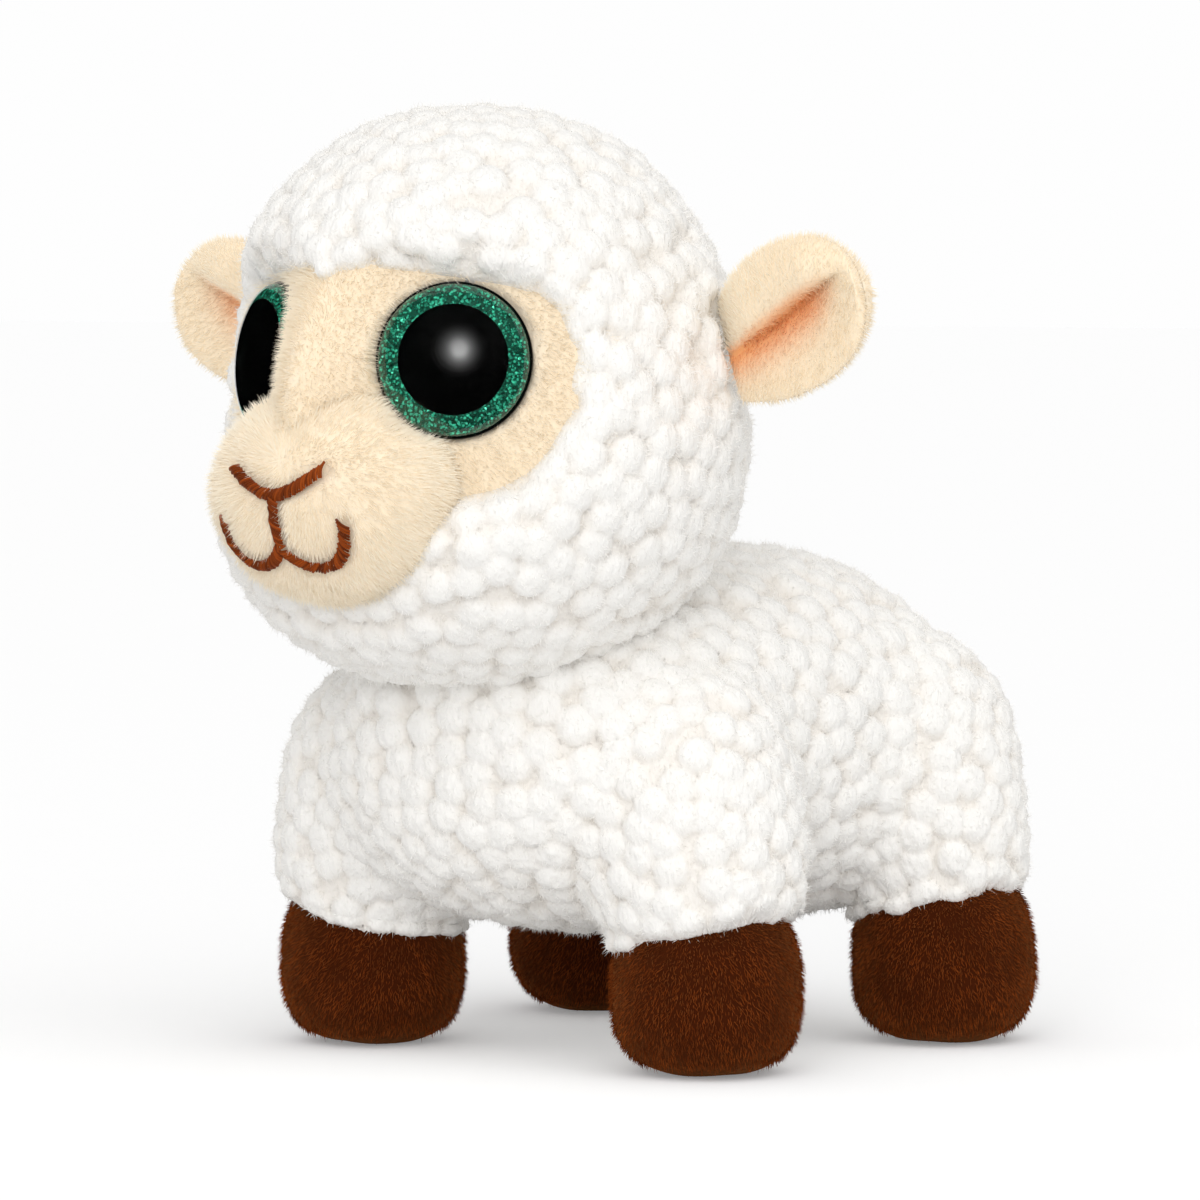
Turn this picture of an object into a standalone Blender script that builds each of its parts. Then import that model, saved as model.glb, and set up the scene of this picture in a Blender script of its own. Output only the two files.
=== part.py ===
"""A small plush sheep that stands on its legs: sewn covers over stuffing, with safety eyes.

Lengths are in metres. +Z is up, the sheep faces -Y and its left side is at +X. The origin is
on the floor, midway between the front of the muzzle and the back of the tail.
"""

import math
from dataclasses import dataclass

import bmesh
import bpy
from mathutils import Matrix, Vector
from mathutils.geometry import interpolate_bezier

# Cloth, and the gaps between pieces
CLEARANCE = 0.0003
SWIVEL_CLEARANCE = 0.0006
FLEECE_THICKNESS = 0.0045
PLUSH_THICKNESS = 0.0021
OVERRUN = 0.0100

# Facets round and along each kind of form
LARGE_STEPS = (26, 14)
MIDDLE_STEPS = (18, 10)
INNER_STEPS = (18, 10)
SMALL_STEPS = (14, 8)
ROUND_SEGMENTS = 20

# Main curls of the fleece, which fade out round what is sewn to it
CURL_STEPS = (36, 20)
CURL_DEPTH = 0.0020
CALM_RADIUS = 0.0100
CALM_FADE = 0.0100

# Head, an egg that is fuller at the cheeks
HEAD_HALF_WIDTH = 0.0416
HEAD_HALF_DEPTH = 0.0418
HEAD_HALF_HEIGHT = 0.0442
HEAD_CENTRE_HEIGHT = 0.1058
HEAD_POWER_SHARE = 2.25
CHEEK_TAPER_SHARE = -0.08

# Neck, where the head sits in the shoulders
NECK_ANGLE = math.radians(30)
NECK_BALL_RADIUS = 0.0098
HEAD_NOD = math.radians(8)
HEAD_TURN_ROOM = 0.0008

# Face mask of two lobes, let in below the fleece
LOBE_CENTRE_ACROSS = 0.0142
LOBE_CENTRE_HEIGHT = 0.0027
LOBE_HALF_WIDTH = 0.0200
LOBE_HALF_HEIGHT = 0.0178
LOBE_POWER_SHARE = 2.7
LOBE_POINTS = 18
FACE_RECESS = 0.0023
FACE_CUT_DEPTH = 0.0340
FACE_SET_BACK = 0.0087

# Muzzle, a stuffed dome set into the face
MUZZLE_SET_BACK = 0.0091
MUZZLE_DROP = 0.0150
MUZZLE_HALF_WIDTH = 0.0208
MUZZLE_HALF_DEPTH = 0.0150
MUZZLE_HALF_HEIGHT = 0.0170
MUZZLE_SECTION_SHARE = 2.4

# Embroidered nose and mouth, placed on the muzzle from its middle
THREAD_HALF_WIDTH = 0.0009
THREAD_HEIGHT = 0.0009
NOSE_HALF_WIDTH = 0.0089
NOSE_TOP = 0.0040
NOSE_BOTTOM = 0.0001
MOUTH_HALF_WIDTH = 0.0120
MOUTH_CORNER = -0.0041
MOUTH_MIDDLE = -0.0078
MOUTH_SAG = 0.0046
THREAD_STEPS = 7
THREAD_EDGE_SHARE = 0.33
THREAD_CROWN_SHARE = 0.5
NOSE_BEND_SHARE = 0.33
MOUTH_BEND_SHARE = 0.25

# Safety eyes: back with its post, glitter ring, pupil, clear dome and lock washer
EYE_RADIUS = 0.0120
EYE_ACROSS = 0.0180
EYE_HEIGHT = 0.0052
EYE_OUTWARD = math.radians(33)
EYE_UPWARD = math.radians(6)
EYE_SINK = 0.0007
EYE_BACK_THICKNESS = 0.0012
EYE_DISC_THICKNESS = 0.0006
EYE_DOME_HEIGHT = 0.0062
EYE_DOME_RINGS = 5
EYE_RIM_WIDTH = 0.0008
PUPIL_RADIUS = 0.0080
POST_RADIUS = 0.0020
POST_LENGTH = 0.0110
WASHER_RADIUS = 0.0065
WASHER_THICKNESS = 0.0012

# Ears, two cloth leaves each, cupped forward, with the upper edge rolled over a crease
EAR_ANGLE_BACK = math.radians(17)
EAR_ROOT_HEIGHT = 0.0062
EAR_LENGTH = 0.0320
EAR_HALF_WIDTH = 0.0116
EAR_ROOT_SHARE = 0.70
EAR_WIDEST_SHARE = 0.50
EAR_TIP_POWER_SHARE = 2.4
EAR_PINCH_SHARE = 0.25
EAR_CUP = 0.0030
EAR_CUP_POWER_SHARE = 1.5
EAR_LEAF_THICKNESS = 0.0018
EAR_ROOT_THICKNESS = 0.0006
EAR_FLAP_RISE = 0.0038
EAR_FOLD_START_SHARE = -0.12
EAR_FOLD_CLIMB_SHARE = 0.55
EAR_LIP_SHARE = 0.20
EAR_FLAP_LENGTH_SHARE = 0.97
EAR_FLAP_END_SHARE = 0.25
EAR_FORWARD = math.radians(3.5)
EAR_UPWARD = math.radians(19)
EAR_STEPS = (12, 12)

# Trunk
TRUNK_HALF_WIDTH = 0.0375
TRUNK_HALF_LENGTH = 0.0520
TRUNK_HALF_HEIGHT = 0.0303
TRUNK_CENTRE_HEIGHT = 0.0492
TRUNK_BEHIND_HEAD = 0.0400
TRUNK_POWER_SHARE = 3.0
TRUNK_SECTION_SHARE = 2.3
RUMP_TAPER_SHARE = 0.08

# Pouch of pellets in the belly
POUCH_HALF_WIDTH = 0.0200
POUCH_HALF_LENGTH = 0.0240
POUCH_HALF_HEIGHT = 0.0120
POUCH_POWER_SHARE = 2.3

# Legs: a fleece tube over a hoof of brown plush, round one core of stuffing
LEG_POWER_SHARE = 2.6
LEG_SWING = math.radians(12)
LEG_LEAN = math.radians(9)
HIP_HEIGHT = 0.0340
HOOF_RADIUS = 0.0150
HOOF_POWER_SHARE = 2.8
HOOF_TAPER_SHARE = -0.03
HOOF_HALF_HEIGHT = 0.0145
HOOF_TOP_CUT = 0.0045
WAIST_RADIUS = 0.0070
WAIST_HALF_HEIGHT = 0.0041
SOLE_FLAT_DEPTH = 0.0005
FRONT_LEG_ACROSS = 0.0345
FRONT_LEG_BEHIND_HEAD = 0.0142
FRONT_LEG_RADIUS = 0.0169
FRONT_LEG_CENTRE_HEIGHT = 0.0370
FRONT_LEG_HALF_HEIGHT = 0.0235
FRONT_LEG_TAPER_SHARE = 0.02
REAR_LEG_ACROSS = 0.0363
REAR_LEG_BEHIND_HEAD = 0.0737
REAR_LEG_RADIUS = 0.0150
REAR_LEG_CENTRE_HEIGHT = 0.0380
REAR_LEG_HALF_HEIGHT = 0.0260
REAR_LEG_TAPER_SHARE = 0.05

# Tail
TAIL_HALF_WIDTH = 0.0068
TAIL_HALF_DEPTH = 0.0046
TAIL_HALF_HEIGHT = 0.0115
TAIL_ROOT_HEIGHT = 0.0600
TAIL_STAND_OFF = 0.0040

# Places that follow from the sizes
FACE_FLAT_DISTANCE = HEAD_HALF_DEPTH - FACE_SET_BACK
MUZZLE_FORWARD = HEAD_HALF_DEPTH - MUZZLE_SET_BACK
IRIS_RADIUS = EYE_RADIUS - EYE_RIM_WIDTH
HOOF_SEAM_HEIGHT = 2 * HOOF_HALF_HEIGHT - SOLE_FLAT_DEPTH - HOOF_TOP_CUT
FRONT_REACH = MUZZLE_FORWARD + MUZZLE_HALF_DEPTH + CLEARANCE + THREAD_HEIGHT
BACK_REACH = TRUNK_BEHIND_HEAD + TRUNK_HALF_LENGTH + TAIL_STAND_OFF
HEAD_Y = (FRONT_REACH - BACK_REACH) / 2
HEAD_CENTRE = Vector((0, HEAD_Y, HEAD_CENTRE_HEIGHT))
TRUNK_CENTRE = Vector((0, HEAD_Y + TRUNK_BEHIND_HEAD, TRUNK_CENTRE_HEIGHT))
MUZZLE_CENTRE = HEAD_CENTRE + Vector((0, -MUZZLE_FORWARD, -MUZZLE_DROP))
NECK_DIRECTION = Vector((0, math.sin(NECK_ANGLE), -math.cos(NECK_ANGLE)))
NECK_POINT = HEAD_CENTRE + Vector(
    (0, HEAD_HALF_DEPTH * NECK_DIRECTION.y, HEAD_HALF_HEIGHT * NECK_DIRECTION.z)
)
TAIL_CENTRE = TRUNK_CENTRE + Vector(
    (
        0,
        TRUNK_HALF_LENGTH + TAIL_STAND_OFF - TAIL_HALF_DEPTH,
        TAIL_ROOT_HEIGHT - TAIL_HALF_HEIGHT - TRUNK_CENTRE_HEIGHT,
    )
)
SIDES = (("left", 1), ("right", -1))
UP = Vector((0, 0, 1))

# Colour, roughness and metallic value of each finish
FINISHES = {
    "white_fleece": ((0.87, 0.85, 0.81), 0.95, 0),
    "peach_plush": ((0.90, 0.74, 0.60), 0.90, 0),
    "apricot_plush": ((0.90, 0.62, 0.42), 0.90, 0),
    "brown_plush": ((0.16, 0.07, 0.04), 0.90, 0),
    "stuffing": ((0.90, 0.90, 0.88), 1.00, 0),
    "pellets": ((0.70, 0.70, 0.66), 0.50, 0),
    "thread": ((0.22, 0.08, 0.03), 0.55, 0),
    "clear_plastic": ((0.80, 0.86, 0.84), 0.05, 0),
    "green_glitter": ((0.03, 0.28, 0.19), 0.25, 0.6),
    "black_plastic": ((0.01, 0.01, 0.01), 0.15, 0),
    "white_plastic": ((0.80, 0.80, 0.78), 0.40, 0),
}


def clear_scene():
    for obj in list(bpy.data.objects):
        bpy.data.objects.remove(obj, do_unlink=True)


def finish(name):
    """The material of one finish, made the first time that it is asked for."""
    material = bpy.data.materials.get(name)
    if material:
        return material
    colour, roughness, metallic = FINISHES[name]
    material = bpy.data.materials.new(name)
    material.use_nodes = True
    shader = material.node_tree.nodes["Principled BSDF"]
    shader.inputs["Base Color"].default_value = (*colour, 1)
    shader.inputs["Roughness"].default_value = roughness
    shader.inputs["Metallic"].default_value = metallic
    return material


def object_from(bm, name):
    """Puts a bmesh in the scene as a smooth object whose faces point out."""
    bm.normal_update()
    bmesh.ops.recalc_face_normals(bm, faces=bm.faces)
    mesh = bpy.data.meshes.new(name)
    bm.to_mesh(mesh)
    bm.free()
    mesh.shade_smooth()
    obj = bpy.data.objects.new(name, mesh)
    bpy.context.scene.collection.objects.link(obj)
    return obj


def piece(bm, name, finish_name):
    obj = object_from(bm, name)
    obj.data.materials.append(finish(finish_name))
    return obj


def cutter(bm, name):
    obj = object_from(bm, name)
    obj.hide_render = True
    obj.display_type = "WIRE"
    return obj


def combine(target, operation, others):
    """Cuts, joins or trims a piece by each of the other objects in turn."""
    for other in others:
        modifier = target.modifiers.new(f"{operation.lower()}_{other.name}", "BOOLEAN")
        modifier.operation = operation
        modifier.object = other


def about(point, axis, angle):
    """A turn round an axis that passes through a point."""
    there = Matrix.Translation(point)
    return there @ Matrix.Rotation(angle, 4, axis) @ there.inverted()


def between_curls(direction, steps):
    """Whether a corner of a form's grid lies in a hollow between curls: every other one does."""
    around, along = steps
    ring = round(math.acos(max(-1, min(1, direction.z))) / math.pi * along)
    segment = round(math.atan2(direction.y, direction.x) / (2 * math.pi) * around)
    return (ring + segment) % 2 == 1


def curl_depth(point, calm_places):
    """How deep a hollow between curls is at a point: none near the calm places."""
    away = min((point - place).length for place in calm_places)
    return CURL_DEPTH * max(0, min(1, (away - CALM_RADIUS) / CALM_FADE))


class Form:
    """A plump closed shape that can be made larger or smaller all round."""

    def __init__(self, centre, half_sizes, power=2, taper=0, axis=2, section=2, turn=None):
        self.centre = Vector(centre)
        self.half_sizes = half_sizes
        self.power = power
        self.taper = taper
        self.axis = axis
        self.section = section
        self.turn = turn or Matrix()

    def scale_for(self, direction):
        """How far the surface lies along a direction, as a share of the half sizes."""
        sides = [abs(direction[i]) ** self.section for i in range(3) if i != self.axis]
        outward = sum(sides) ** (self.power / self.section)
        return (outward + abs(direction[self.axis]) ** self.power) ** (-1 / self.power)

    def bm(self, grow=0, steps=LARGE_STEPS, moved=None, calm_places=None):
        """The shape as a bmesh, grown by a distance and then moved as a whole.

        With calm places given, the shape has curls everywhere but near those places.
        """
        bm = bmesh.new()
        around, along = steps
        bmesh.ops.create_uvsphere(bm, u_segments=around, v_segments=along, radius=1)
        poles = Matrix.Rotation(math.pi / around, 3, "Z")
        if self.axis == 1:
            poles = Matrix.Rotation(math.pi / 2, 3, "X") @ poles
        place = (moved or Matrix()) @ Matrix.Translation(self.centre) @ self.turn
        for vert in bm.verts:
            on_ball = vert.co.normalized()
            direction = poles @ on_ball
            unit = direction * self.scale_for(direction)
            fuller = 1 + self.taper * unit[self.axis]
            point = Vector(
                (self.half_sizes[i] + grow) * unit[i] * (1 if i == self.axis else fuller)
                for i in range(3)
            )
            if calm_places and between_curls(on_ball, steps):
                point -= point.normalized() * curl_depth(place @ point, calm_places)
            vert.co = place @ point
        return bm

    def front_at(self, across, height, grow=0):
        """The point of the surface in front of a place given from the form's middle."""
        width, depth, tall = (half + grow for half in self.half_sizes)
        fuller = 1 + self.taper * height / tall
        level = (1 - abs(height / tall) ** self.power) ** (1 / self.power)
        left = level**self.section - abs(across / width / fuller) ** self.section
        forward = depth * fuller * max(left, 0) ** (1 / self.section)
        return self.centre + Vector((across, -forward, height))

    def normal_at(self, point):
        """The outward direction at a point near the surface."""
        offset = point - self.centre
        slopes = []
        for i in range(3):
            power = self.power if i == self.axis else self.section
            share = offset[i] / self.half_sizes[i]
            slopes.append(math.copysign(abs(share) ** (power - 1), share) / self.half_sizes[i])
        return Vector(slopes).normalized()


HEAD = Form(
    HEAD_CENTRE,
    (HEAD_HALF_WIDTH, HEAD_HALF_DEPTH, HEAD_HALF_HEIGHT),
    HEAD_POWER_SHARE,
    CHEEK_TAPER_SHARE,
)
TRUNK = Form(
    TRUNK_CENTRE,
    (TRUNK_HALF_WIDTH, TRUNK_HALF_LENGTH, TRUNK_HALF_HEIGHT),
    TRUNK_POWER_SHARE,
    RUMP_TAPER_SHARE,
    axis=1,
    section=TRUNK_SECTION_SHARE,
)
MUZZLE = Form(
    MUZZLE_CENTRE,
    (MUZZLE_HALF_WIDTH, MUZZLE_HALF_DEPTH, MUZZLE_HALF_HEIGHT),
    section=MUZZLE_SECTION_SHARE,
)
NECK_BALL = Form(NECK_POINT, (NECK_BALL_RADIUS,) * 3)


def swept(form, grow, point, axis, angle, name):
    """A cutter of the room that a form takes up as it turns both ways about an axis."""
    places = [
        cutter(form.bm(grow, CURL_STEPS, about(point, axis, share * angle)), f"{name}_{number}")
        for number, share in enumerate((0, -1, 1))
    ]
    combine(places[0], "UNION", places[1:])
    return places[0]


def block(low, high):
    """A box between two corners."""
    bm = bmesh.new()
    bmesh.ops.create_cube(bm, size=1)
    low, high = Vector(low), Vector(high)
    for vert in bm.verts:
        vert.co = Vector(low[i] if vert.co[i] < 0 else high[i] for i in range(3))
    return bm


def circle(bm, radius, height, segments, place):
    """The corners of a ring round Z at a height, or its one middle point if the radius is zero."""
    if radius == 0:
        return [bm.verts.new(place @ Vector((0, 0, height)))]
    angles = (2 * math.pi * i / segments for i in range(segments))
    ring = [Vector((radius * math.cos(a), radius * math.sin(a), height)) for a in angles]
    return [bm.verts.new(place @ point) for point in ring]


def join(bm, low, high):
    """Faces between two rings, either of which may be one point."""
    count = max(len(low), len(high))
    for i in range(count):
        k = i + 1
        corners = [low[i % len(low)], low[k % len(low)], high[k % len(high)], high[i % len(high)]]
        bm.faces.new(dict.fromkeys(corners))


def turned(profile, segments, place):
    """A solid turned round its own Z from (radius, height) pairs, bottom to top."""
    bm = bmesh.new()
    rings = [circle(bm, radius, height, segments, place) for radius, height in profile]
    for low, high in zip(rings, rings[1:]):
        join(bm, low, high)
    for end in (rings[0], rings[-1]):
        if len(end) > 1:
            bm.faces.new(end)
    return bm


def flat_ring(inner, outer, low, high, place):
    """A washer shape, turned from its closed outline."""
    bm = bmesh.new()
    outline = ((inner, low), (outer, low), (outer, high), (inner, high))
    rings = [circle(bm, radius, height, ROUND_SEGMENTS, place) for radius, height in outline]
    for first, second in zip(rings, rings[1:] + rings[:1]):
        join(bm, first, second)
    return bm


def slab(front, back):
    """A closed sheet between two grids of points that have the same number of rows and columns."""
    bm = bmesh.new()
    faces_of = [[[bm.verts.new(point) for point in row] for row in grid] for grid in (front, back)]
    rows, columns = len(front), len(front[0])
    for grid in faces_of:
        for i in range(rows - 1):
            for j in range(columns - 1):
                bm.faces.new((grid[i][j], grid[i][j + 1], grid[i + 1][j + 1], grid[i + 1][j]))
    edge = [(0, j) for j in range(columns)]
    edge += [(i, columns - 1) for i in range(1, rows)]
    edge += [(rows - 1, j) for j in range(columns - 2, -1, -1)]
    edge += [(i, 0) for i in range(rows - 2, 0, -1)]
    near, far = faces_of
    for (i, j), (k, m) in zip(edge, edge[1:] + edge[:1]):
        bm.faces.new((near[i][j], near[k][m], far[k][m], far[i][j]))
    return bm


def hinge(name, point):
    """An empty on a joint's axis, which the pieces that move there are parented to."""
    empty = bpy.data.objects.new(name, None)
    empty.location = point
    empty.empty_display_size = CLEARANCE
    bpy.context.scene.collection.objects.link(empty)
    return empty


def carry(parent, pieces):
    """Parents the pieces, which stay where they are."""
    bpy.context.view_layer.update()
    for obj in pieces:
        obj.parent = parent
        obj.matrix_parent_inverse = parent.matrix_world.inverted()


def trunk_pieces():
    """Fleece cover of the body, its stuffing and the pouch of pellets."""
    curled = TRUNK.bm(0, CURL_STEPS, calm_places=[NECK_POINT, TAIL_CENTRE])
    cover = piece(curled, "body_cover", "white_fleece")
    stuffing_grow = -FLEECE_THICKNESS - CLEARANCE
    stuffing = piece(TRUNK.bm(stuffing_grow, INNER_STEPS), "body_stuffing", "stuffing")
    pouch_form = Form(
        TRUNK_CENTRE - UP * (TRUNK_HALF_HEIGHT - FLEECE_THICKNESS - POUCH_HALF_HEIGHT / 2),
        (POUCH_HALF_WIDTH, POUCH_HALF_LENGTH, POUCH_HALF_HEIGHT),
        POUCH_POWER_SHARE,
    )
    pouch = piece(pouch_form.bm(0, SMALL_STEPS), "pellet_pouch", "pellets")
    cavity = cutter(TRUNK.bm(-FLEECE_THICKNESS, INNER_STEPS), "body_cavity")
    belly = cutter(TRUNK.bm(stuffing_grow, INNER_STEPS), "belly_inside")
    pocket = cutter(pouch_form.bm(CLEARANCE, SMALL_STEPS), "pouch_pocket")
    dish_grow = CLEARANCE + HEAD_TURN_ROOM
    dish = swept(HEAD, dish_grow, NECK_POINT, "X", HEAD_NOD, "shoulder_dish")
    socket = cutter(NECK_BALL.bm(SWIVEL_CLEARANCE, SMALL_STEPS), "neck_socket")
    combine(cover, "DIFFERENCE", [cavity, dish, socket])
    combine(stuffing, "DIFFERENCE", [dish, socket, pocket])
    combine(pouch, "INTERSECT", [belly])


def face_outline(grow):
    """The mask seen from the front: two lobes that meet on the middle line."""
    half_width = LOBE_HALF_WIDTH + grow
    half_height = LOBE_HALF_HEIGHT + grow
    reach = LOBE_CENTRE_ACROSS / half_width
    meeting_height = (1 - reach**LOBE_POWER_SHARE) ** (1 / LOBE_POWER_SHARE)
    first = math.atan2(meeting_height, -reach)
    points = []
    for i in range(LOBE_POINTS + 1):
        angle = first - 2 * first * i / LOBE_POINTS
        direction = Vector((math.cos(angle), math.sin(angle)))
        size = sum(abs(part) ** LOBE_POWER_SHARE for part in direction) ** (-1 / LOBE_POWER_SHARE)
        across = LOBE_CENTRE_ACROSS + half_width * size * direction.x
        points.append((across, LOBE_CENTRE_HEIGHT + half_height * size * direction.y))
    return points + [(-across, height) for across, height in reversed(points[1:-1])]


def face_prism(grow, name):
    """The outline carried back through the front of the head."""
    bm = bmesh.new()
    middle = HEAD_CENTRE
    ends = (-HEAD_HALF_DEPTH - OVERRUN, FACE_CUT_DEPTH - HEAD_HALF_DEPTH)
    rings = [
        [bm.verts.new(middle + Vector((across, end, height))) for across, height in face_outline(grow)]
        for end in ends
    ]
    front, back = rings
    count = len(front)
    for i in range(count):
        bm.faces.new((front[i], front[(i + 1) % count], back[(i + 1) % count], back[i]))
    for end in rings:
        bm.faces.new(end)
    return cutter(bm, name)


def face_outward(sign):
    """The way that the flat half of the face on one side looks."""
    level = Vector((sign * math.sin(EYE_OUTWARD), -math.cos(EYE_OUTWARD), math.tan(EYE_UPWARD)))
    return level.normalized()


def flattened(grow, steps, depth, name):
    """A cutter of the head with the two flats of the face, set in by a depth."""
    shape = cutter(HEAD.bm(grow, steps), name)
    reach = HEAD_HALF_HEIGHT + OVERRUN
    for side, sign in SIDES:
        outward = face_outward(sign)
        turn = outward.to_track_quat("Z", "Y").to_matrix().to_4x4()
        low = FACE_FLAT_DISTANCE - depth
        flat = block((-reach, -reach, low), (reach, reach, low + reach))
        flat.transform(Matrix.Translation(HEAD_CENTRE) @ turn)
        combine(shape, "DIFFERENCE", [cutter(flat, f"{name}_{side}_flat")])
    return shape


def eye_place(sign):
    """The frame of one eye, with its Z pointing out of the face and its origin under the back."""
    outward = face_outward(sign)
    across = sign * EYE_ACROSS
    distance = FACE_FLAT_DISTANCE - EYE_SINK
    forward = (distance - outward.x * across - outward.z * EYE_HEIGHT) / outward.y
    seat = HEAD_CENTRE + Vector((across, forward, EYE_HEIGHT))
    return Matrix.Translation(seat) @ outward.to_track_quat("Z", "Y").to_matrix().to_4x4()


def dome_profile():
    """Outline of the clear dome from its rim to its crown, over the hollow for the discs."""
    base = EYE_BACK_THICKNESS + CLEARANCE
    hollow_top = base + EYE_DISC_THICKNESS + CLEARANCE
    hollow_radius = IRIS_RADIUS + CLEARANCE
    rise = EYE_DOME_HEIGHT - hollow_top
    profile = [(0, hollow_top), (hollow_radius, hollow_top), (hollow_radius, base), (EYE_RADIUS, base)]
    for i in range(EYE_DOME_RINGS):
        angle = math.pi / 2 * i / EYE_DOME_RINGS
        profile.append((EYE_RADIUS * math.cos(angle), hollow_top + rise * math.sin(angle)))
    return profile + [(0, EYE_DOME_HEIGHT)]


def eye_pieces(side, sign):
    """The five pieces of one safety eye, and the cutters that make room for it."""
    place = eye_place(sign)
    disc_low = EYE_BACK_THICKNESS + CLEARANCE / 2
    disc_high = disc_low + EYE_DISC_THICKNESS
    back_profile = [
        (0, -POST_LENGTH),
        (POST_RADIUS, -POST_LENGTH),
        (POST_RADIUS, 0),
        (EYE_RADIUS, 0),
        (EYE_RADIUS, EYE_BACK_THICKNESS - CLEARANCE / 2),
        (0, EYE_BACK_THICKNESS - CLEARANCE / 2),
    ]
    iris_hole = PUPIL_RADIUS + CLEARANCE
    pupil_profile = [(0, disc_low), (PUPIL_RADIUS, disc_low), (PUPIL_RADIUS, disc_high), (0, disc_high)]
    washer_hole = POST_RADIUS + CLEARANCE
    washer_high = EYE_SINK - PLUSH_THICKNESS - CLEARANCE
    washer_low = washer_high - WASHER_THICKNESS
    iris = flat_ring(iris_hole, IRIS_RADIUS, disc_low, disc_high, place)
    washer = flat_ring(washer_hole, WASHER_RADIUS, washer_low, washer_high, place)
    pieces = [
        piece(turned(back_profile, ROUND_SEGMENTS, place), f"{side}_eye_back", "black_plastic"),
        piece(iris, f"{side}_eye_glitter_ring", "green_glitter"),
        piece(turned(pupil_profile, ROUND_SEGMENTS, place), f"{side}_eye_pupil", "black_plastic"),
        piece(turned(dome_profile(), ROUND_SEGMENTS, place), f"{side}_eye_dome", "clear_plastic"),
        piece(washer, f"{side}_eye_lock_washer", "white_plastic"),
    ]
    room_profile = [
        (0, -POST_LENGTH - CLEARANCE),
        (washer_hole, -POST_LENGTH - CLEARANCE),
        (washer_hole, -CLEARANCE),
        (EYE_RADIUS + CLEARANCE, -CLEARANCE),
        (EYE_RADIUS + CLEARANCE, OVERRUN),
        (0, OVERRUN),
    ]
    pocket_profile = [
        (0, -POST_LENGTH - CLEARANCE),
        (washer_hole, -POST_LENGTH - CLEARANCE),
        (washer_hole, washer_low - CLEARANCE),
        (WASHER_RADIUS + CLEARANCE, washer_low - CLEARANCE),
        (WASHER_RADIUS + CLEARANCE, OVERRUN),
        (0, OVERRUN),
    ]
    room = cutter(turned(room_profile, ROUND_SEGMENTS, place), f"{side}_eye_room")
    pocket = cutter(turned(pocket_profile, ROUND_SEGMENTS, place), f"{side}_washer_pocket")
    return pieces, room, pocket


def thread(path, name):
    """A flat band of satin stitch that follows a path of (across, height) on the muzzle."""
    bm = bmesh.new()
    points = [MUZZLE.front_at(across, height, CLEARANCE) for across, height in path]
    rings = []
    for i, point in enumerate(points):
        before, after = points[max(i - 1, 0)], points[min(i + 1, len(points) - 1)]
        normal = MUZZLE.normal_at(point)
        sideways = (after - before).normalized().cross(normal).normalized()
        edge = sideways * THREAD_HALF_WIDTH
        crown = edge * THREAD_CROWN_SHARE
        top = normal * THREAD_HEIGHT
        lift = top * THREAD_EDGE_SHARE
        offsets = (edge + lift, crown + top, top - crown, lift - edge)
        rings.append([bm.verts.new(point + offset) for offset in offsets])
    for low, high in zip(rings, rings[1:]):
        for i in range(len(low)):
            k = (i + 1) % len(low)
            bm.faces.new((low[i], low[k], high[k], high[i]))
    for end in (rings[0], rings[-1]):
        bm.faces.new(end)
    return piece(bm, name, "thread")


def bend(start, first_handle, second_handle, end):
    """A smooth run of points between two ends."""
    corners = [Vector((*corner, 0)) for corner in (start, first_handle, second_handle, end)]
    return [(point.x, point.y) for point in interpolate_bezier(*corners, THREAD_STEPS)]


def mirrored(half_path):
    """The path on both sides of the middle line, which its first point lies on."""
    return [(-across, height) for across, height in reversed(half_path[1:])] + half_path


def embroidery():
    """Nose line, the short line under it and the mouth."""
    nose_handle = (NOSE_HALF_WIDTH * NOSE_BEND_SHARE, NOSE_BOTTOM)
    nose_outer_handle = (NOSE_HALF_WIDTH * (1 - NOSE_BEND_SHARE), (NOSE_TOP + NOSE_BOTTOM) / 2)
    nose = bend((0, NOSE_BOTTOM), nose_handle, nose_outer_handle, (NOSE_HALF_WIDTH, NOSE_TOP))
    low = MOUTH_MIDDLE - MOUTH_SAG
    mouth = bend(
        (0, MOUTH_MIDDLE),
        (MOUTH_HALF_WIDTH * MOUTH_BEND_SHARE, low),
        (MOUTH_HALF_WIDTH, low),
        (MOUTH_HALF_WIDTH, MOUTH_CORNER),
    )
    margin = THREAD_HALF_WIDTH + CLEARANCE
    top = NOSE_BOTTOM - margin
    bottom = MOUTH_MIDDLE + margin
    lip = [(0, top + (bottom - top) * i / THREAD_STEPS) for i in range(THREAD_STEPS + 1)]
    return [
        thread(mirrored(nose), "nose_stitching"),
        thread(lip, "lip_stitching"),
        thread(mirrored(mouth), "mouth_stitching"),
    ]


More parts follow.
